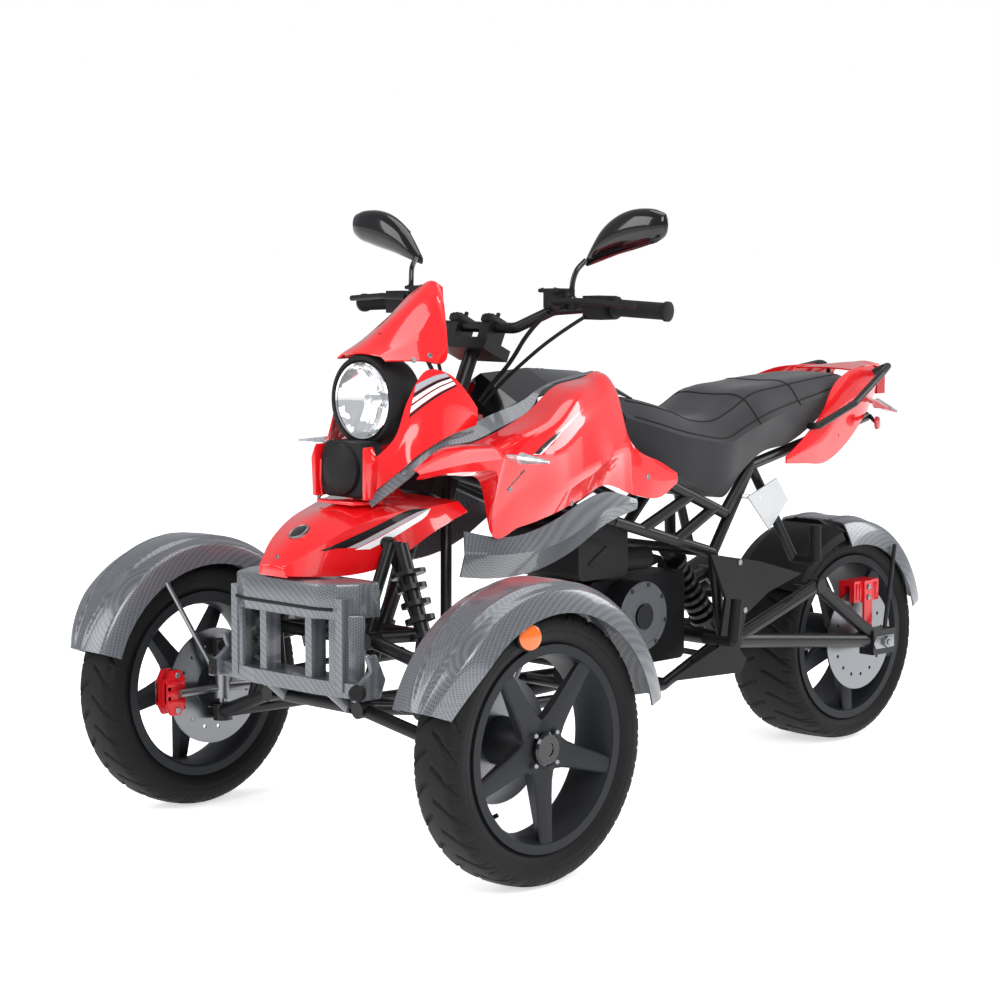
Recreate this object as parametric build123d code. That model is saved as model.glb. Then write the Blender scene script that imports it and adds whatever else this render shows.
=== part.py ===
from build123d import *
import math
import os

os.makedirs("parts", exist_ok=True)

# Driving sizes of the whole vehicle, in millimetres.
wheelbase = 1487.0
track = 973.0
bar_height = 1000.0
body_width = 500.0
middle_x = -13.0
front_tyre_radius = 253.0
front_tyre_width = 108.0
rear_tyre_radius = 240.5
rear_tyre_width = 184.0
rim_lip_radius = 190.0
disc_radius = 118.0
disc_thickness = 4.0
tube_radius = 16.0
slim_tube_radius = 12.0
panel_wall = 3.5
running_gap = 6.0
seat_gap = 0.3
bearing_gap = 0.05
overrun = 20.0

front_axle_x = middle_x + wheelbase / 2
rear_axle_x = middle_x - wheelbase / 2
wheel_y = track / 2


joint_share = 1.08
bend_share = 1.6


def spot(forward_share, left_share, up_share):
    """Place given in shares of wheelbase from its middle, of body width from the centre plane, of bar height."""
    return Vector(
        middle_x + forward_share * wheelbase, left_share * body_width, up_share * bar_height
    )


def rod(start, end, radius):
    """Round bar between two places."""
    run = end - start
    return Solid.make_cylinder(radius, run.length, Plane(origin=start, z_dir=run))


def bent_tube(points, radius, bend):
    """Round tube whose corners are bent to one radius."""
    path = FilletPolyline(*points, radius=bend)
    start = Plane(origin=path @ 0, z_dir=path % 0)
    return sweep(start * Circle(radius), path=path)


def boss(centre, axis, half_length, radius):
    """Short round boss centred on a place."""
    return rod(centre - axis * half_length, centre + axis * half_length, radius)


def fuse(pieces):
    """Pieces welded into one shape."""
    shape = pieces[0]
    for piece in pieces[1:]:
        shape = shape + piece
    return shape


def trimmed(shape, *others):
    """Shape with its neighbours' room taken out, without the crumbs that this leaves."""
    for other in others:
        shape = shape - other
    solids = shape.solids()
    largest = max(solid.volume for solid in solids)
    kept = [solid for solid in solids if solid.volume > largest * crumb_share]
    return kept[0] if len(kept) == 1 else Compound(children=kept)


crumb_share = 0.05


def both_sides(shape):
    """A left piece together with its mirror image on the right."""
    return Compound(children=[shape, mirror(shape, about=Plane.XZ)])


def wall_outline(points, wall):
    """Closed outline of a thin wall: the points, then the same points moved inward by the wall."""
    normals = []
    for (y_start, z_start), (y_end, z_end) in zip(points, points[1:]):
        run = math.hypot(y_end - y_start, z_end - z_start)
        normals.append(((z_end - z_start) / run, (y_start - y_end) / run))
    inner = []
    for index, (y, z) in enumerate(points):
        before = normals[max(index - 1, 0)]
        after = normals[min(index, len(normals) - 1)]
        spread = 1 + before[0] * after[0] + before[1] * after[1]
        inner.append(
            (y + wall * (before[0] + after[0]) / spread, z + wall * (before[1] + after[1]) / spread)
        )
    return points + inner[::-1]


def panel_loft(station_shares, wall, whole=True):
    """Thin shell through cross-sections; each row is forward, then left and up of its outline from the top down."""
    wires = []
    for forward_share, *flat_shares in station_shares:
        half = [
            (left_share * body_width, up_share * bar_height)
            for left_share, up_share in zip(flat_shares[::2], flat_shares[1::2])
        ]
        points = half
        if whole:
            points = [(-y, z) for y, z in half[:0:-1]] + half
        x = middle_x + forward_share * wheelbase
        outline = [Vector(x, y, z) for y, z in wall_outline(points, wall)]
        wires.append(Wire.make_polygon(outline, close=True))
    return Solid.make_loft(wires, ruled=True)


def solid_loft(station_shares):
    """Closed solid through cross-sections; each row is forward, then left and up of half its outline."""
    wires = []
    for forward_share, *flat_shares in station_shares:
        half = list(zip(flat_shares[::2], flat_shares[1::2]))
        points = half + [(-left, up) for left, up in half[::-1] if left]
        wires.append(
            Wire.make_polygon([spot(forward_share, left, up) for left, up in points], close=True)
        )
    return Solid.make_loft(wires, ruled=True)


def plate_between(points, y_low, y_high):
    """Flat plate cut to an outline of places in the side view, between two planes."""
    outline = Wire.make_polygon([Vector(point.X, y_low, point.Z) for point in points], close=True)
    return Solid.extrude(Face(outline), Vector(0, y_high - y_low, 0))


def save(shape, name):
    """Write one sub-part."""
    export_step(shape, f"parts/{name}.step")


# Wheel forms, made about the Y axis at the origin and then moved to their axles.
hub_radius = 45.0
spindle_radius = 17.0
rim_wall = 6.0
rim_lip_depth = 12.0
spoke_count = 5
spoke_thickness = 22.0
tyre_shoulder_share = 0.86
tyre_bead_share = 0.94
cap_radius = 31.0
cap_depth = 14.0


def turned(profile):
    """Solid of revolution about the Y axis from a closed outline of (radius, y) pairs."""
    outline = Wire.make_polygon([Vector(radius, y, 0) for radius, y in profile], close=True)
    return revolve(Face(outline), axis=Axis.Y)


def tyre(radius, width, rim_width):
    """Tyre with flat sidewalls, rounded shoulders and a crowned tread."""
    half = width / 2
    bead = rim_lip_radius * tyre_bead_share
    wall = rim_lip_radius + (radius - rim_lip_radius) / 2
    shoulder = rim_lip_radius + (radius - rim_lip_radius) * tyre_shoulder_share
    rows = [
        # radius, half width
        (bead, rim_width / 2 - rim_lip_depth - seat_gap),
        (rim_lip_radius, rim_width / 2 - rim_wall - seat_gap),
        (wall, half),
        (shoulder, half * tyre_shoulder_share),
        (radius, half * crown_share),
    ]
    return turned(rows + [(r, -y) for r, y in rows[::-1]])


crown_share = 0.42


def rim(width, hub_low, hub_high, bore):
    """Cast wheel: barrel with lips, five tapered spokes and a hub."""
    half = width / 2
    bead = rim_lip_radius * tyre_bead_share
    barrel = turned(
        [
            (bead - rim_wall, -half),
            (rim_lip_radius - seat_gap, -half),
            (rim_lip_radius - seat_gap, -half + rim_wall),
            (bead - seat_gap, -half + rim_lip_depth),
            (bead - seat_gap, half - rim_lip_depth),
            (rim_lip_radius - seat_gap, half - rim_wall),
            (rim_lip_radius - seat_gap, half),
            (bead - rim_wall, half),
        ]
    )
    hub = turned([(bore, hub_low), (hub_radius, hub_low), (hub_radius, hub_high), (bore, hub_high)])
    reach = bead - rim_wall / 2
    spoke_root = hub_radius * spoke_root_share
    spoke_tip = hub_radius * spoke_tip_share
    outline = Wire.make_polygon(
        [
            Vector(-spoke_root, 0, -hub_radius * spoke_start_share),
            Vector(spoke_root, 0, -hub_radius * spoke_start_share),
            Vector(spoke_tip, 0, -reach),
            Vector(-spoke_tip, 0, -reach),
        ],
        close=True,
    )
    spoke = Solid.extrude(Face(outline), Vector(0, spoke_thickness, 0))
    spoke = Pos(0, half - rim_lip_depth - spoke_thickness, 0) * spoke
    spokes = [Rot(0, 360 * index / spoke_count, 0) * spoke for index in range(spoke_count)]
    return fuse([barrel, hub] + spokes)


spoke_root_share = 0.5
spoke_tip_share = 0.62
spoke_start_share = 0.8
disc_hole_radius = 4.0
disc_hole_count = 15
disc_inner_share = 0.45


def brake_disc(y_low):
    """Drilled brake disc."""
    inner = disc_radius * disc_inner_share
    y_high = y_low + disc_thickness
    ring = turned([(inner, y_low), (disc_radius, y_low), (disc_radius, y_high), (inner, y_high)])
    middle = (inner + disc_radius) / 2
    drill = rod(Vector(middle, y_low - overrun, 0), Vector(middle, y_high + overrun, 0), disc_hole_radius)
    drills = [Rot(0, 360 * index / disc_hole_count, 0) * drill for index in range(disc_hole_count)]
    return ring - drills


# Front wheels. The disc sits inboard of the wheel, on the hub.
front_rim_width = 96.0
disc_plane_inboard = 76.0
front_hub_low = -disc_plane_inboard - disc_thickness
front_hub_high = front_rim_width / 2 - rim_lip_depth
front_place = Pos(front_axle_x, wheel_y, front_tyre_radius)

front_tyre = front_place * tyre(front_tyre_radius, front_tyre_width, front_rim_width)
front_rim = front_place * (
    rim(front_rim_width, front_hub_low, front_hub_high, spindle_radius + bearing_gap)
    + turned(
        [
            (0, front_hub_high - cap_depth),
            (spindle_radius + bearing_gap, front_hub_high - cap_depth),
            (spindle_radius + bearing_gap, front_hub_high),
            (cap_radius, front_hub_high),
            (cap_radius, front_hub_high + cap_depth),
            (0, front_hub_high + cap_depth),
        ]
    )
)
front_disc_low = front_hub_low
front_disc = front_place * (
    brake_disc(front_disc_low)
    + turned(
        [
            (hub_radius + seat_gap, front_disc_low),
            (disc_radius * disc_inner_share + seat_gap, front_disc_low),
            (disc_radius * disc_inner_share + seat_gap, front_disc_low + disc_thickness),
            (hub_radius + seat_gap, front_disc_low + disc_thickness),
        ]
    )
)
for side, flip in (("left", False), ("right", True)):
    for name, shape in (("tyre", front_tyre), ("rim", front_rim), ("disc", front_disc)):
        save(mirror(shape, about=Plane.XZ) if flip else shape, f"{name}_front_{side}")

# Rear wheel, with its disc on the left and its sprocket on the right.
rear_rim_width = 168.0
rear_disc_y = 104.0
rear_hub_half = 100.0
axle_radius = 10.0
sprocket_radius = 82.0
sprocket_thickness = 6.0
sprocket_y = -108.0
rear_place = Pos(rear_axle_x, 0, rear_tyre_radius)

save(rear_place * tyre(rear_tyre_radius, rear_tyre_width, rear_rim_width), "tyre_rear")
save(
    rear_place
    * rim(rear_rim_width, sprocket_y + sprocket_thickness, rear_disc_y, axle_radius + bearing_gap),
    "rim_rear",
)
rear_disc = brake_disc(rear_disc_y) + turned(
    [
        (axle_radius + running_gap, rear_disc_y),
        (disc_radius * disc_inner_share + seat_gap, rear_disc_y),
        (disc_radius * disc_inner_share + seat_gap, rear_disc_y + disc_thickness),
        (axle_radius + running_gap, rear_disc_y + disc_thickness),
    ]
)
save(rear_place * rear_disc, "disc_rear")
sprocket = turned(
    [
        (axle_radius + running_gap, sprocket_y),
        (sprocket_radius, sprocket_y),
        (sprocket_radius, sprocket_y + sprocket_thickness),
        (axle_radius + running_gap, sprocket_y + sprocket_thickness),
    ]
)
save(rear_place * sprocket, "sprocket_rear")

# Front knuckles, brake calipers and fenders, made on the left.
kingpin_inboard = 103.0
lower_ball_height_share = 0.80
upper_ball_height_share = 1.32
knuckle_radius = 17.0
ball_radius = 17.0
ball_pin_radius = 7.0
ball_pin_length = 12.0
kingpin = Vector(front_axle_x, wheel_y - kingpin_inboard, front_tyre_radius)
lower_ball = Vector(kingpin.X, kingpin.Y, front_tyre_radius * lower_ball_height_share)
upper_ball = Vector(kingpin.X, kingpin.Y, front_tyre_radius * upper_ball_height_share)
steering_arm_back = 78.0
steering_arm_inboard = 26.0
steering_arm_radius = 9.0
tie_rod_radius = 9.0
tie_eye = Vector(
    kingpin.X - steering_arm_back, kingpin.Y - steering_arm_inboard, front_tyre_radius
)
ball_stem = ball_radius + seat_gap
spindle_end = Vector(kingpin.X, wheel_y + front_hub_high - cap_depth - seat_gap, front_tyre_radius)
flange_y = wheel_y + front_hub_low - running_gap
knuckle_left = fuse(
    [
        rod(lower_ball + Vector(0, 0, ball_stem), upper_ball - Vector(0, 0, ball_stem), ball_pin_radius),
        rod(
            lower_ball + Vector(0, 0, ball_stem + ball_pin_length),
            upper_ball - Vector(0, 0, ball_stem + ball_pin_length),
            knuckle_radius,
        ),
        rod(kingpin, spindle_end, spindle_radius),
        rod(kingpin, tie_eye + Vector(0, 0, 0), steering_arm_radius),
        Pos(tie_eye) * Cylinder(steering_arm_radius * 2, tie_rod_radius),
    ]
)

caliper_size = Vector(48.0, 44.0, 92.0)
caliper_bridge = 12.0
caliper_reach = disc_radius + running_gap + caliper_bridge - caliper_size.X / 2
caliper_centre = Vector(
    kingpin.X + caliper_reach, wheel_y + front_disc_low + disc_thickness / 2, front_tyre_radius
)


def caliper(centre, direction):
    """Brake caliper that straddles a disc, open towards its axle."""
    body = Box(caliper_size.X, caliper_size.Y, caliper_size.Z)
    slot = Pos(-caliper_bridge, 0, 0) * Box(
        caliper_size.X, running_gap * 2 + disc_thickness, caliper_size.Z + overrun
    )
    return Pos(centre) * Rot(0, direction, 0) * (body - slot)


bracket_radius = 8.0
caliper_left = caliper(caliper_centre, 0)
caliper_bracket = fuse(
    [
        rod(
            Vector(kingpin.X, kingpin.Y, front_tyre_radius),
            Vector(
                caliper_centre.X,
                caliper_centre.Y - caliper_size.Y / 2 - bracket_radius,
                front_tyre_radius,
            ),
            bracket_radius,
        ),
    ]
)
knuckle_left = knuckle_left + caliper_bracket

fender_radius = 306.0
fender_width = 162.0
fender_drop = 26.0
fender_front_angle = 20.0
fender_rear_angle = 168.0
fender_flat_share = 0.5
fender_side_share = 0.9
stay_radius = 5.0


def arch(radius, half_widths, drops, wall, start_angle, end_angle):
    """Curved wheel cover: a cross-section of half widths and drops, turned about the Y axis."""
    half = [(half_width, radius - drop) for half_width, drop in zip(half_widths, drops)]
    points = [(-y, z) for y, z in half[::-1]] + half
    outline = Wire.make_polygon([Vector(z, y, 0) for y, z in wall_outline(points, wall)], close=True)
    cover = revolve(Face(outline), axis=Axis.Y, revolution_arc=end_angle - start_angle)
    return Rot(0, -end_angle, 0) * cover


fender_half = fender_width / 2
fender_left = front_place * arch(
    fender_radius,
    [fender_half * fender_flat_share, fender_half * fender_side_share, fender_half],
    [0, fender_drop / 2, fender_drop * 2],
    panel_wall,
    fender_front_angle,
    fender_rear_angle,
)
stay_angles = (62.0, 118.0)
stay_y = wheel_y - fender_half + panel_wall
stays = []
for angle in stay_angles:
    reach = fender_radius - fender_drop * 2
    top = Vector(
        front_axle_x + reach * math.cos(math.radians(angle)),
        stay_y,
        front_tyre_radius + reach * math.sin(math.radians(angle)),
    )
    stays.append(rod(kingpin, top, stay_radius))
knuckle_left = trimmed(fuse([knuckle_left] + stays), fender_left, caliper_left)

for side, flip in (("left", False), ("right", True)):
    for name, shape in (("knuckle", knuckle_left), ("caliper", caliper_left), ("fender", fender_left)):
        save(mirror(shape, about=Plane.XZ) if flip else shape, f"{name}_{side}")

# Steering column: raked shaft from the bar clamps down to the drop arm.
rake_degrees = 25.0
clamp_centre = spot(0.257, 0, 0.985)
column_radius = 15.0
column_up = Vector(-math.sin(math.radians(rake_degrees)), 0, math.cos(math.radians(rake_degrees)))
column_length = 700.0
column_foot = clamp_centre - column_up * column_length
drop_arm_radius = 12.0
drop_pin = Vector(column_foot.X - steering_arm_back, 0, column_foot.Z)
steering_column = fuse(
    [
        rod(column_foot, clamp_centre - column_up * tube_radius, column_radius),
        rod(column_foot, drop_pin, drop_arm_radius),
    ]
)

# Tie rods, open at their inner ends, each hinged on its knuckle's steering arm.
tie_bar_radius = 6.5
tie_inner_y = 52.0
tie_height = tie_eye.Z + steering_arm_radius + tie_rod_radius + seat_gap
tie_rod_left = fuse(
    [
        rod(
            Vector(tie_eye.X, tie_eye.Y, tie_height),
            Vector(drop_pin.X, tie_inner_y, drop_pin.Z),
            tie_bar_radius,
        ),
    ]
)
save(tie_rod_left, "tie_rod_left")
save(mirror(tie_rod_left, about=Plane.XZ), "tie_rod_right")

# Handlebar, grips, levers and mirrors.
bar_radius = 11.0
grip_radius = 17.0
grip_length = 114.0
bar_bend = 40.0
bar_shares = [
    # forward, left, up
    (0.262, 0, 0.985),
    (0.265, 0.22, 0.985),
    (0.245, 0.37, 1.022),
    (0.222, 0.56, 1.030),
    (0.205, 0.85, 1.023),
]
bar_points = [spot(*row) for row in bar_shares]
bar_path = [Vector(point.X, -point.Y, point.Z) for point in bar_points[:0:-1]] + bar_points[1:]
handlebar = bent_tube(bar_path, bar_radius, bar_bend)
clamp_half = 24.0
riser_half_y = 45.0
riser_height = 72.0
riser_drop = 16.0
risers = []
for side in (-1, 1):
    top = Vector(bar_points[0].X, side * riser_half_y, bar_points[0].Z) - column_up * riser_drop
    risers.append(Pos(top) * Rot(0, -rake_degrees, 0) * Box(clamp_half * 2, clamp_half, riser_height))
top_yoke = Pos(clamp_centre - column_up * clamp_half * 2) * Rot(0, -rake_degrees, 0) * Box(
    clamp_half * 3, riser_half_y * 3, clamp_half
)
handlebar = fuse([handlebar, top_yoke] + risers)
save(handlebar, "handlebar")
save(trimmed(steering_column, handlebar), "steering_column")

bar_end = bar_points[-1]
bar_bend_out = bar_points[-2]
grip_run = (bar_end - bar_bend_out).normalized()
grip_sleeve = rod(bar_end - grip_run * grip_length, bar_end + grip_run * seat_gap, grip_radius)
grip_sleeve = grip_sleeve - rod(
    bar_end - grip_run * (grip_length + overrun), bar_end + grip_run * overrun, bar_radius + seat_gap
)
grip_sleeve = grip_sleeve + rod(
    bar_end + grip_run * seat_gap, bar_end + grip_run * grip_radius / 2, grip_radius
)
save(both_sides(grip_sleeve), "grips")

stem_radius = 5.5
control_shares = [
    # forward, left, up of the lever: pivot, knee, tip
    (0.262, 0.42, 1.040),
    (0.262, 0.56, 1.042),
    (0.246, 0.80, 1.034),
]
lever_radius = 6.0
lever_points = [spot(*row) for row in control_shares]
reservoir_radius = 26.0
reservoir_height = 34.0
perch_centre = spot(0.243, 0.38, 1.026)
mirror_foot = spot(0.240, 0.456, 1.045)
mirror_boss_height = 22.0
switch_size = Vector(44.0, 50.0, 46.0)
switch_centre = spot(0.225, 0.56, 1.028)
controls = fuse(
    [
        bent_tube(lever_points, lever_radius, lever_radius * bend_share),
        rod(perch_centre, lever_points[0], lever_radius * 2),
        Pos(perch_centre + Vector(0, 0, reservoir_height / 2)) * Cylinder(reservoir_radius, reservoir_height),
        Pos(switch_centre) * Box(switch_size.X, switch_size.Y, switch_size.Z),
        rod(mirror_foot - Vector(0, 0, mirror_boss_height), mirror_foot, stem_radius * 2),
    ]
)
save(both_sides(trimmed(controls, handlebar, grip_sleeve)), "controls")

mirror_shares = [
    # forward, left, up of the stem: knee, neck
    (0.239, 0.456, 1.085),
    (0.217, 0.490, 1.124),
]
mirror_station_shares = [
    # left, up, half depth, half height of the shell
    (0.47, 1.115, 0.010, 0.010),
    (0.56, 1.150, 0.022, 0.030),
    (0.70, 1.178, 0.026, 0.040),
    (0.84, 1.185, 0.020, 0.030),
    (0.88, 1.188, 0.006, 0.012),
]
mirror_forward_share = 0.215
stem_points = [mirror_foot + Vector(0, 0, seat_gap)] + [spot(*row) for row in mirror_shares]
mirror_wires = []
for left, up, half_depth, half_height in mirror_station_shares:
    centre = spot(mirror_forward_share, left, up)
    corners = [
        centre + Vector(across * half_depth * bar_height, 0, rise * half_height * bar_height)
        for across, rise in ((-1, -0.6), (-1, 0.6), (0, 1), (1, 0.5), (1, -0.5), (0, -1))
    ]
    mirror_wires.append(Wire.make_polygon(corners, close=True))
mirror_shell = Solid.make_loft(mirror_wires, ruled=True)
mirrors = fuse([bent_tube(stem_points, stem_radius, stem_radius * bend_share), mirror_shell])
save(both_sides(mirrors), "mirrors")

# Main frame: two trellis sides, joined by cross tubes.
main_tube_shares = [
    # forward, left, up of the front end, then of the rear end, share of the tube radius
    (0.315, 0.072, 0.800, -0.020, 0.28, 0.650, 1),
    (-0.020, 0.28, 0.650, -0.145, 0.28, 0.574, 1),
    (0.345, 0.072, 0.706, 0.094, 0.28, 0.585, 1),
    (0.094, 0.28, 0.585, -0.120, 0.28, 0.492, 1),
    (-0.070, 0.28, 0.620, 0.035, 0.28, 0.559, 1),
    (-0.122, 0.28, 0.588, -0.038, 0.28, 0.528, 1),
    (-0.120, 0.28, 0.492, -0.224, 0.23, 0.668, 1),
    (-0.224, 0.23, 0.668, -0.540, 0.15, 0.748, 1),
    (-0.224, 0.23, 0.668, -0.300, 0.30, 0.455, 0.9),
    (-0.145, 0.28, 0.574, -0.224, 0.23, 0.668, 1),
    (-0.120, 0.28, 0.492, -0.150, 0.26, 0.300, 1),
    (-0.150, 0.26, 0.300, -0.020, 0.26, 0.222, 1),
    (-0.020, 0.26, 0.222, 0.400, 0.24, 0.240, 1),
    (0.400, 0.235, 0.240, 0.345, 0.072, 0.696, 0.93),
]
cross_tube_shares = [
    # forward, up, half length
    (0.094, 0.585, 0.28),
    (-0.120, 0.492, 0.28),
    (-0.030, 0.224, 0.26),
    (0.080, 0.226, 0.256),
    (0.400, 0.240, 0.24),
    (-0.224, 0.668, 0.23),
    (-0.540, 0.748, 0.15),
]
cross_share = 0.93
bracket_shares = [
    # forward, left, up of a stub that carries the foot panel
    (-0.1253, 0.270, 0.458),
    (-0.1440, 0.264, 0.340),
    (-0.0800, 0.260, 0.258),
]
carrier_shares = [
    # forward, left, up of a stay's root on the frame, then of its end at a panel
    (0.200, 0.143, 0.749, 0.200, 0.412, 0.749),
    (0.200, 0.143, 0.749, 0.200, 0.143, 0.858),
    (0.120, 0.258, 0.598, 0.120, 0.327, 0.598),
    (-0.420, 0.180, 0.718, -0.420, 0.260, 0.718),
    (-0.540, 0.080, 0.748, -0.545, 0.080, 0.865),
]
middle_carrier_shares = [
    # forward and up of a stay's root on the centre plane, then of its end
    (0.335, 0.790, 0.425, 0.790),
    (0.340, 0.722, 0.480, 0.722),
    (-0.540, 0.748, -0.606, 0.806),
]
foot_panel_y = 190.0
bolt_radius = 10.0
swing_pivot = spot(-0.150, 0, 0.300)
pivot_half_share = 0.26
pivot_half = pivot_half_share * body_width
frame_pieces = []
for row in main_tube_shares:
    start, end, radius_share = spot(*row[:3]), spot(*row[3:6]), row[6]
    for side in (1, -1):
        side_start = Vector(start.X, side * start.Y, start.Z)
        side_end = Vector(end.X, side * end.Y, end.Z)
        frame_pieces.append(rod(side_start, side_end, slim_tube_radius * radius_share))
for forward, up, half in cross_tube_shares:
    frame_pieces.append(
        rod(spot(forward, -half, up), spot(forward, half, up), slim_tube_radius * cross_share)
    )
for row in bracket_shares:
    root = spot(*row)
    for side in (1, -1):
        frame_pieces.append(
            rod(Vector(root.X, side * root.Y, root.Z), Vector(root.X, side * foot_panel_y, root.Z), stay_radius * 2)
        )
for row in carrier_shares:
    root, end = spot(*row[:3]), spot(*row[3:])
    for side in (1, -1):
        side_root = Vector(root.X, side * root.Y, root.Z)
        frame_pieces.append(rod(side_root, Vector(end.X, side * end.Y, end.Z), stay_radius))
for root_forward, root_up, end_forward, end_up in middle_carrier_shares:
    frame_pieces.append(rod(spot(root_forward, 0, root_up), spot(end_forward, 0, end_up), stay_radius))
frame_pieces.append(
    rod(swing_pivot - Vector(0, pivot_half, 0), swing_pivot + Vector(0, pivot_half, 0), tube_radius * joint_share)
)
head_radius = column_radius + bearing_gap
head_outer = head_radius + rim_wall
head_drop = 175.0
head_length = 200.0
head_top = clamp_centre - column_up * head_drop
head_foot = head_top - column_up * head_length
frame_pieces.append(rod(head_foot, head_top, head_outer))
gusset_size = Vector(64.0, 90.0, 180.0)
frame_pieces.append(
    Pos((head_foot + head_top) * 0.5)
    * Rot(0, -rake_degrees, 0)
    * Box(gusset_size.X, gusset_size.Y, gusset_size.Z)
)
main_frame = fuse(frame_pieces)
main_frame = main_frame - rod(
    head_foot - column_up * overrun, head_top + column_up * overrun, head_radius
)
save(main_frame, "main_frame")

# Front subframe with the wishbone pivots and the shock towers.
lower_pivot_shares = ((0.5535, 0.26, 0.283), (0.447, 0.26, 0.259))
upper_pivot_shares = ((0.551, 0.30, 0.415), (0.444, 0.30, 0.405))
shock_top = spot(0.500, 0.30, 0.590)
shock_bottom_share = 0.62
lower_pivots = [spot(*row) for row in lower_pivot_shares]
upper_pivots = [spot(*row) for row in upper_pivot_shares]
pivot_inset = tube_radius + slim_tube_radius
subframe_foot = spot(0.400, 0.24, 0.240)
subframe_pieces = []


def inset(point, side):
    """Point on the subframe rail inboard of a pivot, on one side."""
    return Vector(point.X, side * (point.Y - pivot_inset), point.Z)


for side in (1, -1):
    low_front, low_rear = (inset(point, side) for point in lower_pivots)
    high_front, high_rear = (inset(point, side) for point in upper_pivots)
    tower = inset(shock_top, side)
    rear_foot = Vector(subframe_foot.X, side * subframe_foot.Y, subframe_foot.Z)
    for start, end in (
        (low_front, low_rear),
        (high_front, high_rear),
        (low_front, high_front),
        (low_rear, high_rear),
        (high_front, tower),
        (high_rear, tower),
        (low_rear, rear_foot),
    ):
        subframe_pieces.append(rod(start, end, slim_tube_radius))
    for point in lower_pivots + upper_pivots + [shock_top]:
        outer = Vector(point.X, side * point.Y, point.Z)
        subframe_pieces.append(rod(inset(point, side), outer, stay_radius))
for point in lower_pivots + upper_pivots + [shock_top]:
    subframe_pieces.append(rod(inset(point, -1), inset(point, 1), slim_tube_radius))
column_bearing = clamp_centre + column_up * ((upper_pivots[1].Z - clamp_centre.Z) / column_up.Z)
subframe_pieces.append(
    rod(column_bearing - column_up * head_outer, column_bearing + column_up * head_outer, head_outer)
)
front_subframe = fuse(subframe_pieces)
front_subframe = front_subframe - rod(
    column_bearing - column_up * overrun * 2, column_bearing + column_up * overrun * 2, head_radius
)
front_subframe = trimmed(front_subframe, main_frame)
save(front_subframe, "front_subframe")

# Double wishbones with ball joints, and coil-over shocks.
arm_radius = 13.0
wishbone_pieces = []
for ball, pivots in ((lower_ball, lower_pivots), (upper_ball, upper_pivots)):
    wishbone_pieces.append(boss(ball, Vector(0, 0, 1), ball_radius, ball_radius * joint_share))
    for pivot in pivots:
        wishbone_pieces.append(rod(pivot, ball, arm_radius))
        wishbone_pieces.append(boss(pivot, Vector(1, 0, 0), tube_radius, tube_radius))

coil_radius = 29.0
coil_wire = 5.0
coil_turns = 8
damper_radius = 14.0
seat_thickness = 8.0
shock_foot_middle = (lower_pivots[0] + lower_pivots[1]) * 0.5
shock_foot = shock_foot_middle + (lower_ball - shock_foot_middle) * shock_bottom_share


def shock(start, end, coils_from_share, coils_to_share):
    """Damper between two eyes with a coil spring drawn as rings between two seats."""
    run = end - start
    low = start + run * coils_from_share
    high = start + run * coils_to_share
    unit = run.normalized()
    pieces = [
        rod(start, end, damper_radius),
        rod(low, low + unit * seat_thickness, coil_radius + coil_wire),
        rod(high - unit * seat_thickness, high, coil_radius + coil_wire),
    ]
    coils = high - low
    for index in range(1, coil_turns):
        centre = low + coils * (index / coil_turns)
        plane = Plane(origin=centre - unit * coil_wire, z_dir=unit)
        ring = Solid.make_cylinder(coil_radius, coil_wire * 2, plane)
        pieces.append(ring)
    return fuse(pieces)


front_coil_shares = (0.22, 0.86)
front_shock = shock(shock_foot, shock_top, *front_coil_shares)
shock_pin_half = (lower_pivots[0].X - lower_pivots[1].X) / 2 * (1 - shock_bottom_share)
wishbone_pieces.append(
    rod(
        shock_foot + Vector(-shock_pin_half, 0, 0),
        shock_foot + Vector(shock_pin_half, 0, 0),
        stay_radius,
    )
)
wishbones = fuse(wishbone_pieces)
wishbones = trimmed(wishbones, front_subframe)
front_shock = trimmed(front_shock, wishbones, front_subframe)
save(both_sides(wishbones), "wishbones")
save(both_sides(front_shock), "front_shocks")

# Engine with its round side cover, cylinder with fins, and output sprocket.
engine_centre = spot(0.005, 0, 0.360)
engine_size = Vector(300.0, 186.0, 190.0)
cover_radius = 73.0
cover_centre = spot(0.037, 0, 0.380)
cover_reach = 150.0
boss_radius = 25.0
boss_height = 6.0
fin_count = 7
fin_thickness = 5.0
cylinder_radius = 48.0
fin_radius = 66.0
cylinder_length = 150.0
cylinder_tilt = 80.0
crankcase = Pos(engine_centre) * Box(engine_size.X, engine_size.Y, engine_size.Z)
crankcase = fillet(crankcase.edges().filter_by(Axis.Y), tube_radius)
cylinder_start = engine_centre + Vector(engine_size.X * 0.3, 0, 0)
cylinder_up = Vector(
    math.sin(math.radians(cylinder_tilt)), 0, math.cos(math.radians(cylinder_tilt))
)
engine_pieces = [
    crankcase,
    rod(Vector(cover_centre.X, 0, cover_centre.Z), Vector(cover_centre.X, cover_reach, cover_centre.Z), cover_radius),
    rod(
        Vector(cover_centre.X, cover_reach, cover_centre.Z),
        Vector(cover_centre.X, cover_reach + boss_height, cover_centre.Z),
        boss_radius,
    ),
    rod(cylinder_start, cylinder_start + cylinder_up * cylinder_length, cylinder_radius),
]
for index in range(fin_count):
    centre = cylinder_start + cylinder_up * cylinder_length * ((index + 2) / (fin_count + 2))
    engine_pieces.append(
        Solid.make_cylinder(fin_radius, fin_thickness, Plane(origin=centre, z_dir=cylinder_up))
    )
drive_sprocket_centre = spot(-0.075, 0, 0.330)
drive_sprocket_radius = 32.0
engine_pieces.append(
    rod(
        drive_sprocket_centre,
        Vector(drive_sprocket_centre.X, sprocket_y, drive_sprocket_centre.Z),
        drive_sprocket_radius - seat_gap,
    )
)
mount_half = 30.0
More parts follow.
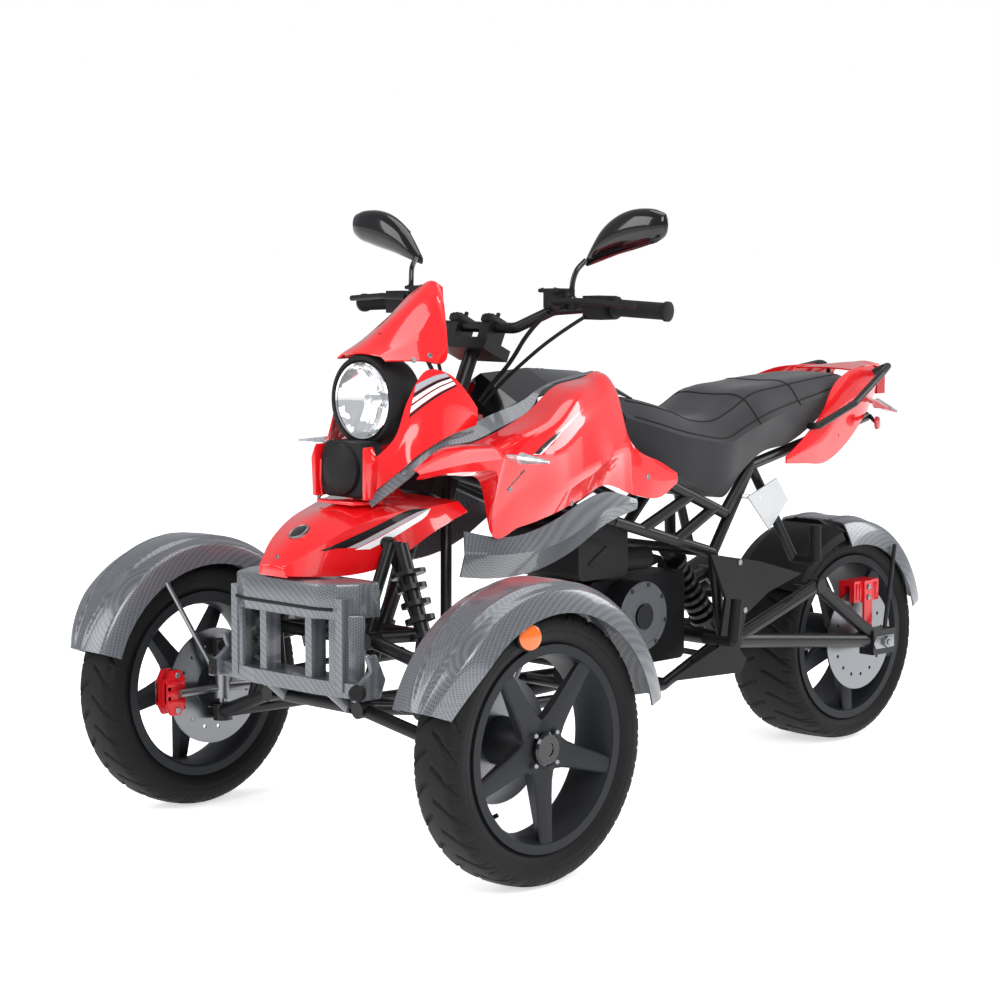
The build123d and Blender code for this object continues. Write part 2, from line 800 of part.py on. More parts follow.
for forward, up, half in (cross_tube_shares[2], cross_tube_shares[3]):
    foot = spot(forward, 0, up)
    lug_height = engine_centre.Z - foot.Z
    engine_pieces.append(
        Pos(foot + Vector(0, 0, lug_height / 2)) * Box(mount_half, mount_half * 2, lug_height)
    )
engine = trimmed(fuse(engine_pieces), main_frame)
save(engine, "engine")

# Chain loop on the right.
chain_depth = 14.0
chain_width = 12.0
rear_chain_radius = sprocket_radius + running_gap
drive_chain_radius = drive_sprocket_radius
chain_y_low = sprocket_y + sprocket_thickness / 2 - chain_width / 2
rear_chain_centre = Vector(rear_axle_x, 0, rear_tyre_radius)


def belt_face(grow):
    """Face of the loop round both sprockets, grown outward."""
    drive = Vector(drive_sprocket_centre.X, chain_y_low, drive_sprocket_centre.Z)
    driven = Vector(rear_chain_centre.X, chain_y_low, rear_chain_centre.Z)
    run = driven - drive
    tilt = math.atan2(run.Z, run.X)
    big, small = rear_chain_radius + grow, drive_chain_radius + grow
    lean = math.acos((small - big) / run.length)
    points = []
    for centre, radius in ((drive, small), (driven, big)):
        for sign in (1, -1):
            angle = tilt + sign * lean
            points.append(
                centre + Vector(radius * math.cos(angle), 0, radius * math.sin(angle))
            )
    upper_drive, lower_drive, upper_driven, lower_driven = points
    drive_far = drive - run.normalized() * small
    driven_far = driven + run.normalized() * big
    edges = [
        Edge.make_line(upper_drive, upper_driven),
        Edge.make_three_point_arc(upper_driven, driven_far, lower_driven),
        Edge.make_line(lower_driven, lower_drive),
        Edge.make_three_point_arc(lower_drive, drive_far, upper_drive),
    ]
    return Face(Wire(edges))


outer_loop = Solid.extrude(belt_face(chain_depth), Vector(0, chain_width, 0))
inner_loop = Solid.extrude(belt_face(0), Vector(0, chain_width, 0))
save(outer_loop - inner_loop, "chain")

# Air box and its intake hose above the engine.
air_box_size = Vector(150.0, 230.0, 110.0)
air_box_top = spot(cross_tube_shares[0][0], 0, cross_tube_shares[0][1])
air_box_centre = air_box_top - Vector(0, 0, slim_tube_radius * cross_share + seat_gap + air_box_size.Z / 2)
intake_radius = 24.0
air_box = Pos(air_box_centre) * Box(air_box_size.X, air_box_size.Y, air_box_size.Z)
air_box = fillet(air_box.edges().filter_by(Axis.Y), tube_radius)
intake_end = spot(-0.020, 0.16, 0.490)
air_box = air_box + rod(Vector(air_box_centre.X, intake_end.Y, intake_end.Z), intake_end, intake_radius)
save(air_box, "air_box")

# Exhaust on the right: header pipe and muffler.
exhaust_shares = [
    # forward, left, up
    (0.168, -0.10, 0.340),
    (0.185, -0.12, 0.200),
    (0.140, -0.33, 0.186),
    (-0.150, -0.38, 0.192),
    (-0.215, -0.46, 0.280),
]
pipe_radius = 17.0
muffler_radius = 46.0
muffler_end = spot(-0.440, -0.52, 0.375)
exhaust_points = [spot(*row) for row in exhaust_shares]
exhaust = fuse(
    [
        bent_tube(exhaust_points, pipe_radius, pipe_radius * bend_share),
        rod(exhaust_points[-1], muffler_end, muffler_radius),
    ]
)
exhaust = trimmed(exhaust, engine)
save(exhaust, "exhaust")

# Swing arm with the rear axle, and the shock under the seat.
swing_y = 161.5
tube_share = 0.92
swing_knee = spot(-0.345, 0, 0.390)
swing_cross_share = 0.25
plate_length = 84.0
plate_height = 56.0
plate_depth = 8.0
axle_centre = Vector(rear_axle_x, 0, rear_tyre_radius)
swing_cross = swing_pivot + (axle_centre - swing_pivot) * swing_cross_share
across = Vector(0, swing_y, 0)
stub_start = pivot_half + slim_tube_radius * joint_share + seat_gap
swing_pieces = [
    rod(axle_centre - across, axle_centre + across, axle_radius),
    rod(swing_cross - across, swing_cross + across, tube_radius * tube_share),
]
for side in (1, -1):
    offset = across * side
    inner_end = swing_pivot + Vector(0, side * stub_start, 0)
    swing_pieces.append(rod(inner_end, swing_pivot + offset, bolt_radius))
    swing_pieces.append(rod(swing_pivot + offset, axle_centre + offset, tube_radius))
    swing_pieces.append(rod(swing_knee + offset, axle_centre + offset, tube_radius * tube_share))
    swing_pieces.append(rod(swing_pivot + offset, swing_knee + offset, tube_radius * tube_share))
    swing_pieces.append(boss(swing_knee + offset, Vector(0, 1, 0), tube_radius, tube_radius))
    swing_pieces.append(boss(swing_pivot + offset, Vector(0, 1, 0), tube_radius, tube_radius * joint_share))
    swing_pieces.append(
        Pos(axle_centre + offset) * Box(plate_length, plate_depth + tube_radius * 2, plate_height)
    )
fender_stay_foot = Vector(-25.0, 161.5, 20.0)
fender_stay_top = Vector(-130.0, 111.0, 205.0)
hugger_stay_inner = 100.0
for side in (1, -1):
    foot, top = (
        Vector(axle_centre.X + place.X, side * place.Y, axle_centre.Z + place.Z)
        for place in (fender_stay_foot, fender_stay_top)
    )
    swing_pieces.append(rod(foot, top, stay_radius))
    knee = swing_knee + across * side
    swing_pieces.append(rod(knee, Vector(knee.X, side * hugger_stay_inner, knee.Z), stay_radius))
swing_arm = fuse(swing_pieces)
save(swing_arm, "swing_arm")

rear_shock_top = spot(cross_tube_shares[1][0], 0, cross_tube_shares[1][1])
rear_coil_shares = (0.20, 0.84)
rear_shock = shock(swing_cross, rear_shock_top, *rear_coil_shares)
save(trimmed(rear_shock, swing_arm, main_frame), "rear_shock")

rear_caliper_centre = Vector(
    rear_axle_x, rear_disc_y + disc_thickness / 2, rear_tyre_radius + caliper_reach
)
carrier_width = 30.0
carrier_low = rear_caliper_centre.Y + caliper_size.Y / 2
carrier_depth = 6.0
carrier = Pos(rear_axle_x, carrier_low + carrier_depth / 2, rear_tyre_radius + caliper_reach / 2) * Box(
    carrier_width, carrier_depth, caliper_reach + caliper_size.X
)
save(trimmed(caliper(rear_caliper_centre, -90) + carrier, swing_arm), "caliper_rear")

# Rear fender and the inner hugger.
rear_fender_radius = 277.0
rear_fender_half = 110.0
rear_fender_wall_drop = 60.0
rear_fender = rear_place * arch(
    rear_fender_radius,
    [rear_fender_half * 0.6, rear_fender_half * 0.95, rear_fender_half],
    [0, panel_wall * 5, rear_fender_wall_drop],
    panel_wall,
    14.0,
    98.0,
)
rear_fender = mirror(rear_fender, about=Plane(origin=(rear_axle_x, 0, 0), z_dir=(1, 0, 0)))
save(trimmed(rear_fender, swing_arm), "rear_fender")
hugger_radius = 268.0
hugger_half = 104.0
hugger = rear_place * arch(
    hugger_radius,
    [hugger_half * 0.6, hugger_half * 0.95, hugger_half],
    [0, panel_wall * 4, panel_wall * 9],
    panel_wall,
    30.0,
    78.0,
)
save(trimmed(hugger, swing_arm), "rear_hugger")

# Red bodywork and its trims, each a thin shell through a few cross-sections.
side_cowl_shares = [
    # forward, then left and up of the top edge, shoulder, two creases and lower edge
    (0.468, 0.272, 0.727, 0.290, 0.724, 0.305, 0.719, 0.300, 0.713, 0.290, 0.708),
    (0.412, 0.270, 0.765, 0.350, 0.760, 0.430, 0.740, 0.420, 0.722, 0.350, 0.712),
    (0.380, 0.295, 0.769, 0.420, 0.765, 0.480, 0.745, 0.460, 0.715, 0.365, 0.695),
    (0.370, 0.300, 0.771, 0.430, 0.765, 0.480, 0.745, 0.405, 0.640, 0.390, 0.600),
    (0.322, 0.300, 0.791, 0.430, 0.783, 0.490, 0.745, 0.435, 0.680, 0.410, 0.606),
    (0.267, 0.285, 0.820, 0.430, 0.802, 0.475, 0.752, 0.455, 0.672, 0.405, 0.620),
    (0.194, 0.230, 0.866, 0.360, 0.850, 0.405, 0.800, 0.430, 0.700, 0.380, 0.645),
    (0.130, 0.195, 0.877, 0.270, 0.868, 0.320, 0.838, 0.385, 0.725, 0.340, 0.665),
    (0.076, 0.170, 0.883, 0.210, 0.875, 0.240, 0.858, 0.320, 0.742, 0.325, 0.642),
    (0.062, 0.300, 0.742, 0.303, 0.738, 0.305, 0.735, 0.315, 0.700, 0.320, 0.636),
    (0.003, 0.310, 0.697, 0.311, 0.694, 0.312, 0.690, 0.315, 0.660, 0.310, 0.627),
    (-0.030, 0.310, 0.672, 0.310, 0.670, 0.311, 0.668, 0.312, 0.660, 0.310, 0.652),
]
side_cowl = trimmed(panel_loft(side_cowl_shares, panel_wall, whole=False), main_frame)
save(both_sides(side_cowl), "side_cowls")

nose_shares = [
    # forward, then left and up of the crest, shoulder and lower edge
    (0.405, 0, 0.668, 0.320, 0.662, 0.370, 0.645),
    (0.443, 0, 0.667, 0.290, 0.655, 0.320, 0.611),
    (0.498, 0, 0.659, 0.225, 0.643, 0.215, 0.546),
    (0.545, 0, 0.640, 0.185, 0.624, 0.180, 0.533),
    (0.590, 0, 0.603, 0.140, 0.590, 0.140, 0.534),
    (0.628, 0, 0.556, 0.070, 0.552, 0.075, 0.537),
]
nose_cone = panel_loft(nose_shares, panel_wall)
nose_cone = trimmed(nose_cone, side_cowl, mirror(side_cowl, about=Plane.XZ), front_subframe)
save(nose_cone, "nose_cone")

headlamp_cowl_shares = [
    # forward, then left and up of the upper edge, cheek and lower edge
    (0.352, 0.268, 0.835, 0.270, 0.818, 0.262, 0.802),
    (0.366, 0.270, 0.858, 0.275, 0.830, 0.266, 0.798),
    (0.404, 0.258, 0.906, 0.268, 0.845, 0.268, 0.785),
    (0.430, 0.228, 0.912, 0.245, 0.840, 0.262, 0.770),
    (0.454, 0.200, 0.858, 0.215, 0.810, 0.250, 0.751),
    (0.473, 0.190, 0.790, 0.200, 0.760, 0.236, 0.731),
    (0.490, 0.160, 0.757, 0.165, 0.725, 0.170, 0.696),
    (0.509, 0.125, 0.735, 0.128, 0.700, 0.120, 0.667),
]
headlamp_cowl = panel_loft(headlamp_cowl_shares, panel_wall, whole=False)

visor_shares = [
    # forward, then left and up of the crest, shoulder and lower edge
    (0.348, 0, 1.079, 0.030, 1.076, 0.060, 1.068),
    (0.364, 0, 1.062, 0.080, 1.050, 0.130, 1.000),
    (0.386, 0, 1.038, 0.110, 1.015, 0.200, 0.930),
    (0.430, 0, 0.992, 0.140, 0.965, 0.188, 0.930),
    (0.474, 0, 0.944, 0.110, 0.941, 0.140, 0.932),
]
visor = panel_loft(visor_shares, panel_wall)

console_shares = [
    # forward, then left and up of the middle and the edge
    (0.310, 0, 0.850, 0.210, 0.812),
    (0.257, 0, 0.892, 0.205, 0.838),
    (0.168, 0, 0.898, 0.180, 0.856),
    (0.067, 0, 0.886, 0.120, 0.876),
    (-0.010, 0, 0.838, 0.110, 0.826),
]
console = panel_loft(console_shares, panel_wall)
console = console - rod(clamp_centre, head_foot, column_radius + running_gap * 2)
console = trimmed(console, main_frame)
save(console, "console")

trim_shares = [
    # forward, then left and up of the inner and the outer edge
    (0.505, 0.135, 0.670, 0.155, 0.655),
    (0.472, 0.225, 0.727, 0.262, 0.712),
    (0.412, 0.245, 0.778, 0.260, 0.764),
    (0.367, 0.235, 0.797, 0.290, 0.774),
    (0.321, 0.225, 0.815, 0.290, 0.794),
    (0.248, 0.225, 0.845, 0.268, 0.832),
    (0.224, 0.215, 0.860, 0.238, 0.857),
    (0.141, 0.165, 0.882, 0.186, 0.878),
    (0.085, 0.140, 0.890, 0.156, 0.886),
]
console_trim = trimmed(panel_loft(trim_shares, panel_wall, whole=False), side_cowl, console)
save(both_sides(console_trim), "console_trim")

side_panel_shares = [
    # forward, then left and up of the upper edge, the fold and the lower edge
    (0.404, 0.350, 0.605, 0.355, 0.560, 0.330, 0.515),
    (0.350, 0.385, 0.588, 0.405, 0.555, 0.330, 0.505),
    (0.240, 0.385, 0.612, 0.395, 0.565, 0.310, 0.512),
    (0.190, 0.365, 0.635, 0.375, 0.585, 0.312, 0.535),
    (0.120, 0.332, 0.650, 0.345, 0.615, 0.320, 0.585),
    (0.060, 0.322, 0.628, 0.328, 0.620, 0.324, 0.608),
]
side_panel = panel_loft(side_panel_shares, panel_wall, whole=False)
save(both_sides(trimmed(side_panel, side_cowl, main_frame)), "side_panels")

# Headlamp, its bucket, and the round horn cover below it.
lamp_centre = spot(0.470, 0, 0.852)
lamp_radius = 75.0
bucket_radius = 90.0
bucket_depth = 80.0
lens_depth = 14.0
bucket = rod(lamp_centre - Vector(bucket_depth, 0, 0), lamp_centre, bucket_radius)
bucket = bucket - rod(
    lamp_centre - Vector(bucket_depth / 2, 0, 0), lamp_centre + Vector(overrun, 0, 0), lamp_radius + seat_gap
)
visor_stay_shares = ((0.439, 0.937), (0.439, 0.981))
visor_stay = rod(spot(visor_stay_shares[0][0], 0, visor_stay_shares[0][1]), spot(visor_stay_shares[1][0], 0, visor_stay_shares[1][1]), stay_radius)
bucket = trimmed(bucket + visor_stay, main_frame)
save(bucket, "headlamp_bucket")
save(trimmed(visor, bucket), "visor")
headlamp_cowl = trimmed(headlamp_cowl, bucket, console_trim)
save(both_sides(headlamp_cowl), "headlamp_cowl")
lens = rod(
    lamp_centre - Vector(bucket_depth / 2 - seat_gap, 0, 0),
    lamp_centre + Vector(lens_depth / 2, 0, 0),
    lamp_radius,
)
save(lens, "headlamp")
horn_centre = spot(0.510, 0, 0.722)
horn_radius = 50.0
horn_plate = Vector(60.0, 146.0, 110.0)
horn = Pos(horn_centre - Vector(horn_plate.X / 2, 0, 0)) * Box(horn_plate.X, horn_plate.Y, horn_plate.Z)
horn = horn + rod(horn_centre, horn_centre + Vector(lens_depth, 0, 0), horn_radius)
horn = trimmed(horn, bucket, headlamp_cowl, mirror(headlamp_cowl, about=Plane.XZ), nose_cone, main_frame)
horn = trimmed(horn, console_trim, mirror(console_trim, about=Plane.XZ))
save(horn, "horn_cover")

# Front bumper: brow, posts, side panels and lower wing.
brow_shares = [
    # forward, left of the brow's plan
    (0.616, 0.200),
    (0.560, 0.330),
    (0.545, 0.330),
    (0.545, -0.330),
    (0.560, -0.330),
    (0.616, -0.200),
]
brow_low_share = 0.462
brow_high_share = 0.512
brow = Solid.extrude(
    Face(
        Wire.make_polygon([spot(forward, left, brow_low_share) for forward, left in brow_shares], close=True)
    ),
    Vector(0, 0, (brow_high_share - brow_low_share) * bar_height),
)
wing_shares = [
    # forward, left of the wing's plan
    (0.610, 0.170),
    (0.600, 0.400),
    (0.575, 0.420),
    (0.560, 0.200),
    (0.560, -0.200),
    (0.575, -0.420),
    (0.600, -0.400),
    (0.610, -0.170),
]
wing_low_share = 0.318
wing_high_share = 0.346
wing = Solid.extrude(
    Face(
        Wire.make_polygon([spot(forward, left, wing_low_share) for forward, left in wing_shares], close=True)
    ),
    Vector(0, 0, (wing_high_share - wing_low_share) * bar_height),
)
post_width = 18.0
post_forward_share = 0.594
post_bite_share = 0.01
stub_y_share = 0.18
bumper_pieces = [brow, wing]
for side in (1, -1):
    stub_end = spot(post_forward_share, side * stub_y_share, (wing_low_share + wing_high_share) / 2)
    stub_root = Vector(lower_pivots[0].X, stub_end.Y, lower_pivots[0].Z)
    bumper_pieces.append(rod(stub_root, stub_end, slim_tube_radius))
post_left_shares = (0.13, 0.30)
for left in post_left_shares:
    for side in (1, -1):
        low = spot(post_forward_share, side * left, wing_low_share + post_bite_share)
        high = spot(post_forward_share, side * left, brow_high_share - post_bite_share)
        middle = (low + high) * 0.5
        bumper_pieces.append(Pos(middle) * Box(post_width * 2, post_width, high.Z - low.Z))
bumper = trimmed(fuse(bumper_pieces), front_subframe)
tie_down_radius = 6.0
tie_down_shares = (0.587, 0.36)
wing_middle_share = (wing_low_share + wing_high_share) / 2
for side in (1, -1):
    tie_down = spot(tie_down_shares[0], side * tie_down_shares[1], wing_middle_share)
    bumper = bumper - rod(
        tie_down - Vector(0, 0, overrun), tie_down + Vector(0, 0, overrun), tie_down_radius
    )
save(bumper, "bumper")

# Seat: one two-level cushion.
seat_shares = [
    # forward, then left and up round half the section from the bottom to the top
    (0.030, 0, 0.740, 0.170, 0.742, 0.180, 0.790, 0.110, 0.828, 0, 0.835),
    (-0.020, 0, 0.690, 0.225, 0.693, 0.240, 0.765, 0.160, 0.812, 0, 0.825),
    (-0.063, 0, 0.658, 0.245, 0.660, 0.270, 0.745, 0.180, 0.795, 0, 0.806),
    (-0.100, 0, 0.634, 0.250, 0.636, 0.285, 0.735, 0.190, 0.775, 0, 0.786),
    (-0.150, 0, 0.604, 0.260, 0.607, 0.300, 0.725, 0.200, 0.770, 0, 0.776),
    (-0.190, 0, 0.652, 0.260, 0.655, 0.300, 0.745, 0.200, 0.790, 0, 0.798),
    (-0.235, 0, 0.692, 0.260, 0.694, 0.300, 0.765, 0.200, 0.820, 0, 0.827),
    (-0.301, 0, 0.706, 0.250, 0.708, 0.272, 0.785, 0.190, 0.832, 0, 0.838),
    (-0.340, 0, 0.722, 0.235, 0.725, 0.262, 0.795, 0.185, 0.838, 0, 0.844),
    (-0.400, 0, 0.762, 0.215, 0.765, 0.240, 0.810, 0.170, 0.845, 0, 0.850),
    (-0.457, 0, 0.798, 0.175, 0.800, 0.196, 0.825, 0.145, 0.849, 0, 0.854),
    (-0.490, 0, 0.822, 0.130, 0.824, 0.152, 0.836, 0.105, 0.846, 0, 0.849),
]
save(solid_loft(seat_shares), "seat")

tail_shares = [
    # forward, then left and up of the crest, rail and lower edge
    (-0.285, 0.286, 0.682, 0.289, 0.675, 0.286, 0.667),
    (-0.330, 0.284, 0.722, 0.290, 0.694, 0.282, 0.663),
    (-0.380, 0.276, 0.780, 0.284, 0.720, 0.270, 0.659),
    (-0.405, 0.262, 0.822, 0.276, 0.750, 0.262, 0.668),
    (-0.456, 0.225, 0.855, 0.245, 0.790, 0.232, 0.698),
    (-0.520, 0.170, 0.864, 0.200, 0.820, 0.185, 0.752),
    (-0.578, 0.104, 0.862, 0.130, 0.845, 0.115, 0.800),
]
tail_side = trimmed(panel_loft(tail_shares, panel_wall, whole=False), main_frame)
tail_sides = both_sides(tail_side)
tail_top_shares = [
    # forward, then left and up of the middle and the edge
    (-0.500, 0, 0.862, 0.168, 0.859),
    (-0.555, 0, 0.870, 0.108, 0.865),
    (-0.578, 0, 0.870, 0.082, 0.864),
    (-0.612, 0, 0.866, 0.066, 0.862),
    (-0.623, 0, 0.846, 0.058, 0.843),
]
tail_top = trimmed(panel_loft(tail_top_shares, panel_wall), main_frame)
save(Compound(children=[tail_sides, tail_top]), "tail_cowl")

rail_radius = 8.0
rail_shares = [
    # forward, left, up
    (-0.345, 0.270, 0.745),
    (-0.345, 0.320, 0.745),
    (-0.430, 0.330, 0.790),
    (-0.530, 0.260, 0.850),
    (-0.580, 0.190, 0.866),
    (-0.560, 0.120, 0.842),
]
grab_rail = bent_tube([spot(*row) for row in rail_shares], rail_radius, rail_radius * bend_share)
save(both_sides(trimmed(grab_rail, tail_side)), "grab_rails")

# Lamps: turn signals at the front and the rear, and the round rear reflectors.
signal_shares = [
    # forward, left, up of the root, then of the tip
    (0.366, 0.470, 0.748, 0.373, 0.708, 0.746),
    (-0.530, 0.170, 0.790, -0.490, 0.440, 0.768),
]
signal_radius = 12.0
signal_stalk_radius = 6.0
signal_tip_radius = 3.0
stalk_share = 0.35
signals = []
for row in signal_shares:
    root, tip = spot(*row[:3]), spot(*row[3:])
    middle = root + (tip - root) * stalk_share
    signals.append(
        rod(root, middle, signal_stalk_radius)
        + Solid.make_cone(
            signal_radius, signal_tip_radius, (tip - middle).length, Plane(origin=middle, z_dir=tip - middle)
        )
    )
front_signal, rear_signal = signals
front_signal = trimmed(front_signal, side_cowl)
rear_signal = trimmed(rear_signal, tail_side)
save(both_sides(Compound(children=[front_signal, rear_signal])), "turn_signals")

lamp_low = spot(-0.610, 0, 0.815)
tail_lamp_size = Vector(30.0, 80.0, 40.0)
tail_lamp = Pos(lamp_low) * Box(tail_lamp_size.X, tail_lamp_size.Y, tail_lamp_size.Z)
save(trimmed(tail_lamp, main_frame), "tail_lamp")

# Foot panels, pegs and the blank number plate.
foot_panel_shares = [
    # forward, up
    (-0.070, 0.500),
    (-0.180, 0.470),
    (-0.278, 0.430),
    (-0.200, 0.400),
    (-0.150, 0.360),
    (-0.135, 0.290),
    (-0.152, 0.262),
    (-0.140, 0.236),
    (0.020, 0.245),
    (-0.090, 0.300),
    (-0.105, 0.400),
]
foot_panel_thickness = 8.0
foot_panel = plate_between(
    [spot(forward, 0, up) for forward, up in foot_panel_shares],
    foot_panel_y,
    foot_panel_y + foot_panel_thickness,
)

peg_shares = [
    # forward, left, up of the root, then of the tip of the folded pad, left of the inner end
    (-0.086, 0.480, 0.315, -0.095, 0.480, 0.405, 0.323),
    (-0.300, 0.420, 0.455, -0.298, 0.420, 0.535, 0.300),
]
peg_half = 13.0
peg_root_share = 0.8
pegs = []
for row in peg_shares:
    root, tip = spot(*row[:3]), spot(*row[3:6])
    inner_end = spot(row[0], row[6], row[2])
    pegs.append(fuse([rod(root, tip, peg_half), rod(inner_end, root, peg_half * peg_root_share)]))
pegs = [trimmed(peg, swing_arm, main_frame) for peg in pegs]
save(both_sides(Compound(children=pegs)), "foot_pegs")
save(both_sides(trimmed(foot_panel, *pegs)), "foot_panels")

plate_shares = [
    # forward, up
    (-0.182, 0.606),
    (-0.248, 0.640),
    (-0.276, 0.590),
    (-0.232, 0.529),
]
plate_y = 158.0
plate_thickness = 3.0
number_plate = plate_between(
    [spot(forward, 0, up) for forward, up in plate_shares], plate_y, plate_y + plate_thickness
)
plate_hold = spot(-0.188, 0.248, 0.606)
plate_back = spot(-0.212, 0, 0.600)
number_plate = number_plate + rod(
    plate_hold, Vector(plate_back.X, plate_y + plate_thickness / 2, plate_back.Z), stay_radius
)
save(trimmed(number_plate, main_frame), "number_plate")
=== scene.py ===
import math

import bmesh
import bpy
import numpy as np
from mathutils import Matrix, Vector
from mathutils.bvhtree import BVHTree


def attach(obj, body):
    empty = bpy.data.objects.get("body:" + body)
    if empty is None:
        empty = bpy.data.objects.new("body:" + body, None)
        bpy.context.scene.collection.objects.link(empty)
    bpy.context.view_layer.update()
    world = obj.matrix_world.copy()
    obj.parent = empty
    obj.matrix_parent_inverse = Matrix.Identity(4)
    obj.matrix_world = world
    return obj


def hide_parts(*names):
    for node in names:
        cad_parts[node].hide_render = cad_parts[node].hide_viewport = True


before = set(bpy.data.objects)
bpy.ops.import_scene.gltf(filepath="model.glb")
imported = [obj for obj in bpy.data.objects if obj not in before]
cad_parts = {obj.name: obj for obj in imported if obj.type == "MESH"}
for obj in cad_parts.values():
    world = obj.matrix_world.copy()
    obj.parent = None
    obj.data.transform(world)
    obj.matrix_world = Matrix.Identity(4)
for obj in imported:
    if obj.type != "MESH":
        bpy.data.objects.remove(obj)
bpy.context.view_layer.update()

# Camera: a long lens at the front left of the trike, six degrees above the horizon, as the photograph
# was taken. Looking down the lens, the left front wheel is nearest.
camera_data = bpy.data.cameras.new("camera")
camera_data.lens = 93.96
camera_data.sensor_width = 36.0
camera_data.clip_start = 0.05
camera_data.clip_end = 100.0
camera = bpy.data.objects.new("camera", camera_data)
bpy.context.scene.collection.objects.link(camera)
camera.location = (4.0665, 3.7041, 1.1834)
look = Vector((-0.70792, -0.69859, -0.10402))
camera.rotation_mode = "QUATERNION"
camera.rotation_quaternion = look.to_track_quat("-Z", "Y")
bpy.context.scene.camera = camera
bpy.context.scene.view_settings.view_transform = "Standard"

# Frame, front subframe, wishbones, shocks, arms and bars: steel tube and sheet, welded and sprayed
# satin black, which gives narrow soft shines. The knuckles are cast alloy and stay bare. The grain of
# a finish is 1 to 3 mm, coarser than the real one, so that it shows.
def linear(code):
    """Linear colour of an sRGB hex code."""
    values = [int(code[i:i + 2], 16) / 255 for i in (0, 2, 4)]
    return tuple(v / 12.92 if v <= 0.04045 else ((v + 0.055) / 1.055) ** 2.4 for v in values) + (1.0,)


def add(tree, kind, inputs=None):
    """New node of a kind; inputs are numbers, colours or sockets by socket name or index."""
    node = tree.nodes.new(kind)
    for key, value in (inputs or {}).items():
        if isinstance(value, bpy.types.NodeSocket):
            tree.links.new(value, node.inputs[key])
        else:
            node.inputs[key].default_value = value
    return node


def new_material(name, values):
    """New material with its node tree and its shader, whose inputs get the values by their names."""
    material = bpy.data.materials.new(name)
    material.use_nodes = True
    shader = material.node_tree.nodes["Principled BSDF"]
    for key, value in values.items():
        shader.inputs[key].default_value = value
    return material, material.node_tree, shader


def finish_of(name, colour, roughness, metallic=0.0, coat=0.0, grain_mm=1.0, grain=0.1, spread=0.06,
              sheen=0.0, distance=0.0004):
    """Paint, metal or moulded surface: fine grain bump, slow colour change and uneven gloss.

    The slow noise, from 0.3 to 0.7, moves the colour by the spread and the roughness by an eighth.
    """
    material, tree, shader = new_material(name, {
        "Metallic": metallic, "Coat Weight": coat, "Coat Roughness": 0.04, "Specular IOR Level": 0.22,
        "Sheen Weight": sheen})
    place = add(tree, "ShaderNodeTexCoord").outputs["Object"]
    fine = add(tree, "ShaderNodeTexNoise", {"Vector": place, "Scale": 1000 / grain_mm, "Detail": 2.0})
    slow = add(tree, "ShaderNodeTexNoise", {"Vector": place, "Scale": 6.0, "Detail": 3.0})
    shade, rough = [add(tree, "ShaderNodeMapRange", {
        "Value": slow.outputs[0], "From Min": 0.3, "From Max": 0.7, "To Min": least, "To Max": most,
    }).outputs[0] for least, most in ((1 - spread, 1 + spread), (roughness * 0.88, roughness * 1.12))]
    base = add(tree, "ShaderNodeHueSaturation", {"Color": linear(colour), "Value": shade}).outputs[0]
    tree.links.new(base, shader.inputs["Base Color"])
    tree.links.new(rough, shader.inputs["Roughness"])
    bump = add(tree, "ShaderNodeBump", {"Height": fine.outputs[0], "Strength": grain, "Distance": distance})
    tree.links.new(bump.outputs[0], shader.inputs["Normal"])
    return material


def wear(material, names):
    """Gives one material to each CAD node of a list of names."""
    for node in names.split():
        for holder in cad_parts[node].material_slots:
            holder.material = material


frame_black = finish_of("satin_black_paint", "111214", 0.42, grain_mm=1.2, grain=0.08, coat=0.15)
cast_alloy = finish_of("cast_alloy", "8E9092", 0.38, metallic=1.0, grain_mm=1.5, grain=0.25)
wear(frame_black, "main_frame front_subframe wishbones front_shocks rear_shock swing_arm handlebar "
                  "grab_rails steering_column tie_rod_left tie_rod_right")
wear(cast_alloy, "knuckle_left knuckle_right")


# Engine, exhaust and chain: cast black cases with a stepped grey side cover that eight screws hold,
# a black exhaust, and an oiled steel chain with its sprocket. Castings are rough and hardly shine.
def joined(shapes):
    """One list of vertices and one of faces from several such pairs."""
    points, faces, count = [], [], 0
    for part_points, part_faces in shapes:
        points.append(np.asarray(part_points, float))
        faces += [tuple(int(i) + count for i in face) for face in part_faces]
        count += len(part_points)
    return np.concatenate(points), faces


def grid_faces(rows, columns, around=False):
    """Quads between neighbouring rows of a grid, closed round the columns if asked."""
    last = columns if around else columns - 1
    return [(r * columns + c, r * columns + (c + 1) % columns, (r + 1) * columns + (c + 1) % columns,
             (r + 1) * columns + c) for r in range(rows - 1) for c in range(last)]


def capped(rows, sides):
    """Quads round a grid of closed rows, with one face over each end."""
    last = (rows - 1) * sides
    ends = [tuple(range(sides))[::-1], tuple(last + i for i in range(sides))]
    return grid_faces(rows, sides, around=True) + ends


def piece(name, shape, material, replaces=(), body="chassis", sharp=35.0):
    """Object from a shape, riding on a body and standing for CAD nodes."""
    points, faces = shape
    mesh = bpy.data.meshes.new(name)
    mesh.from_pydata(np.asarray(points).tolist(), [], [tuple(int(i) for i in face) for face in faces])
    mesh.materials.append(material)
    mesh.shade_smooth()
    mesh.set_sharp_from_angle(angle=math.radians(sharp))
    made = bpy.data.objects.new(name, mesh)
    bpy.context.scene.collection.objects.link(made)
    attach(made, body)
    if replaces:
        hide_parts(*replaces)
    return made


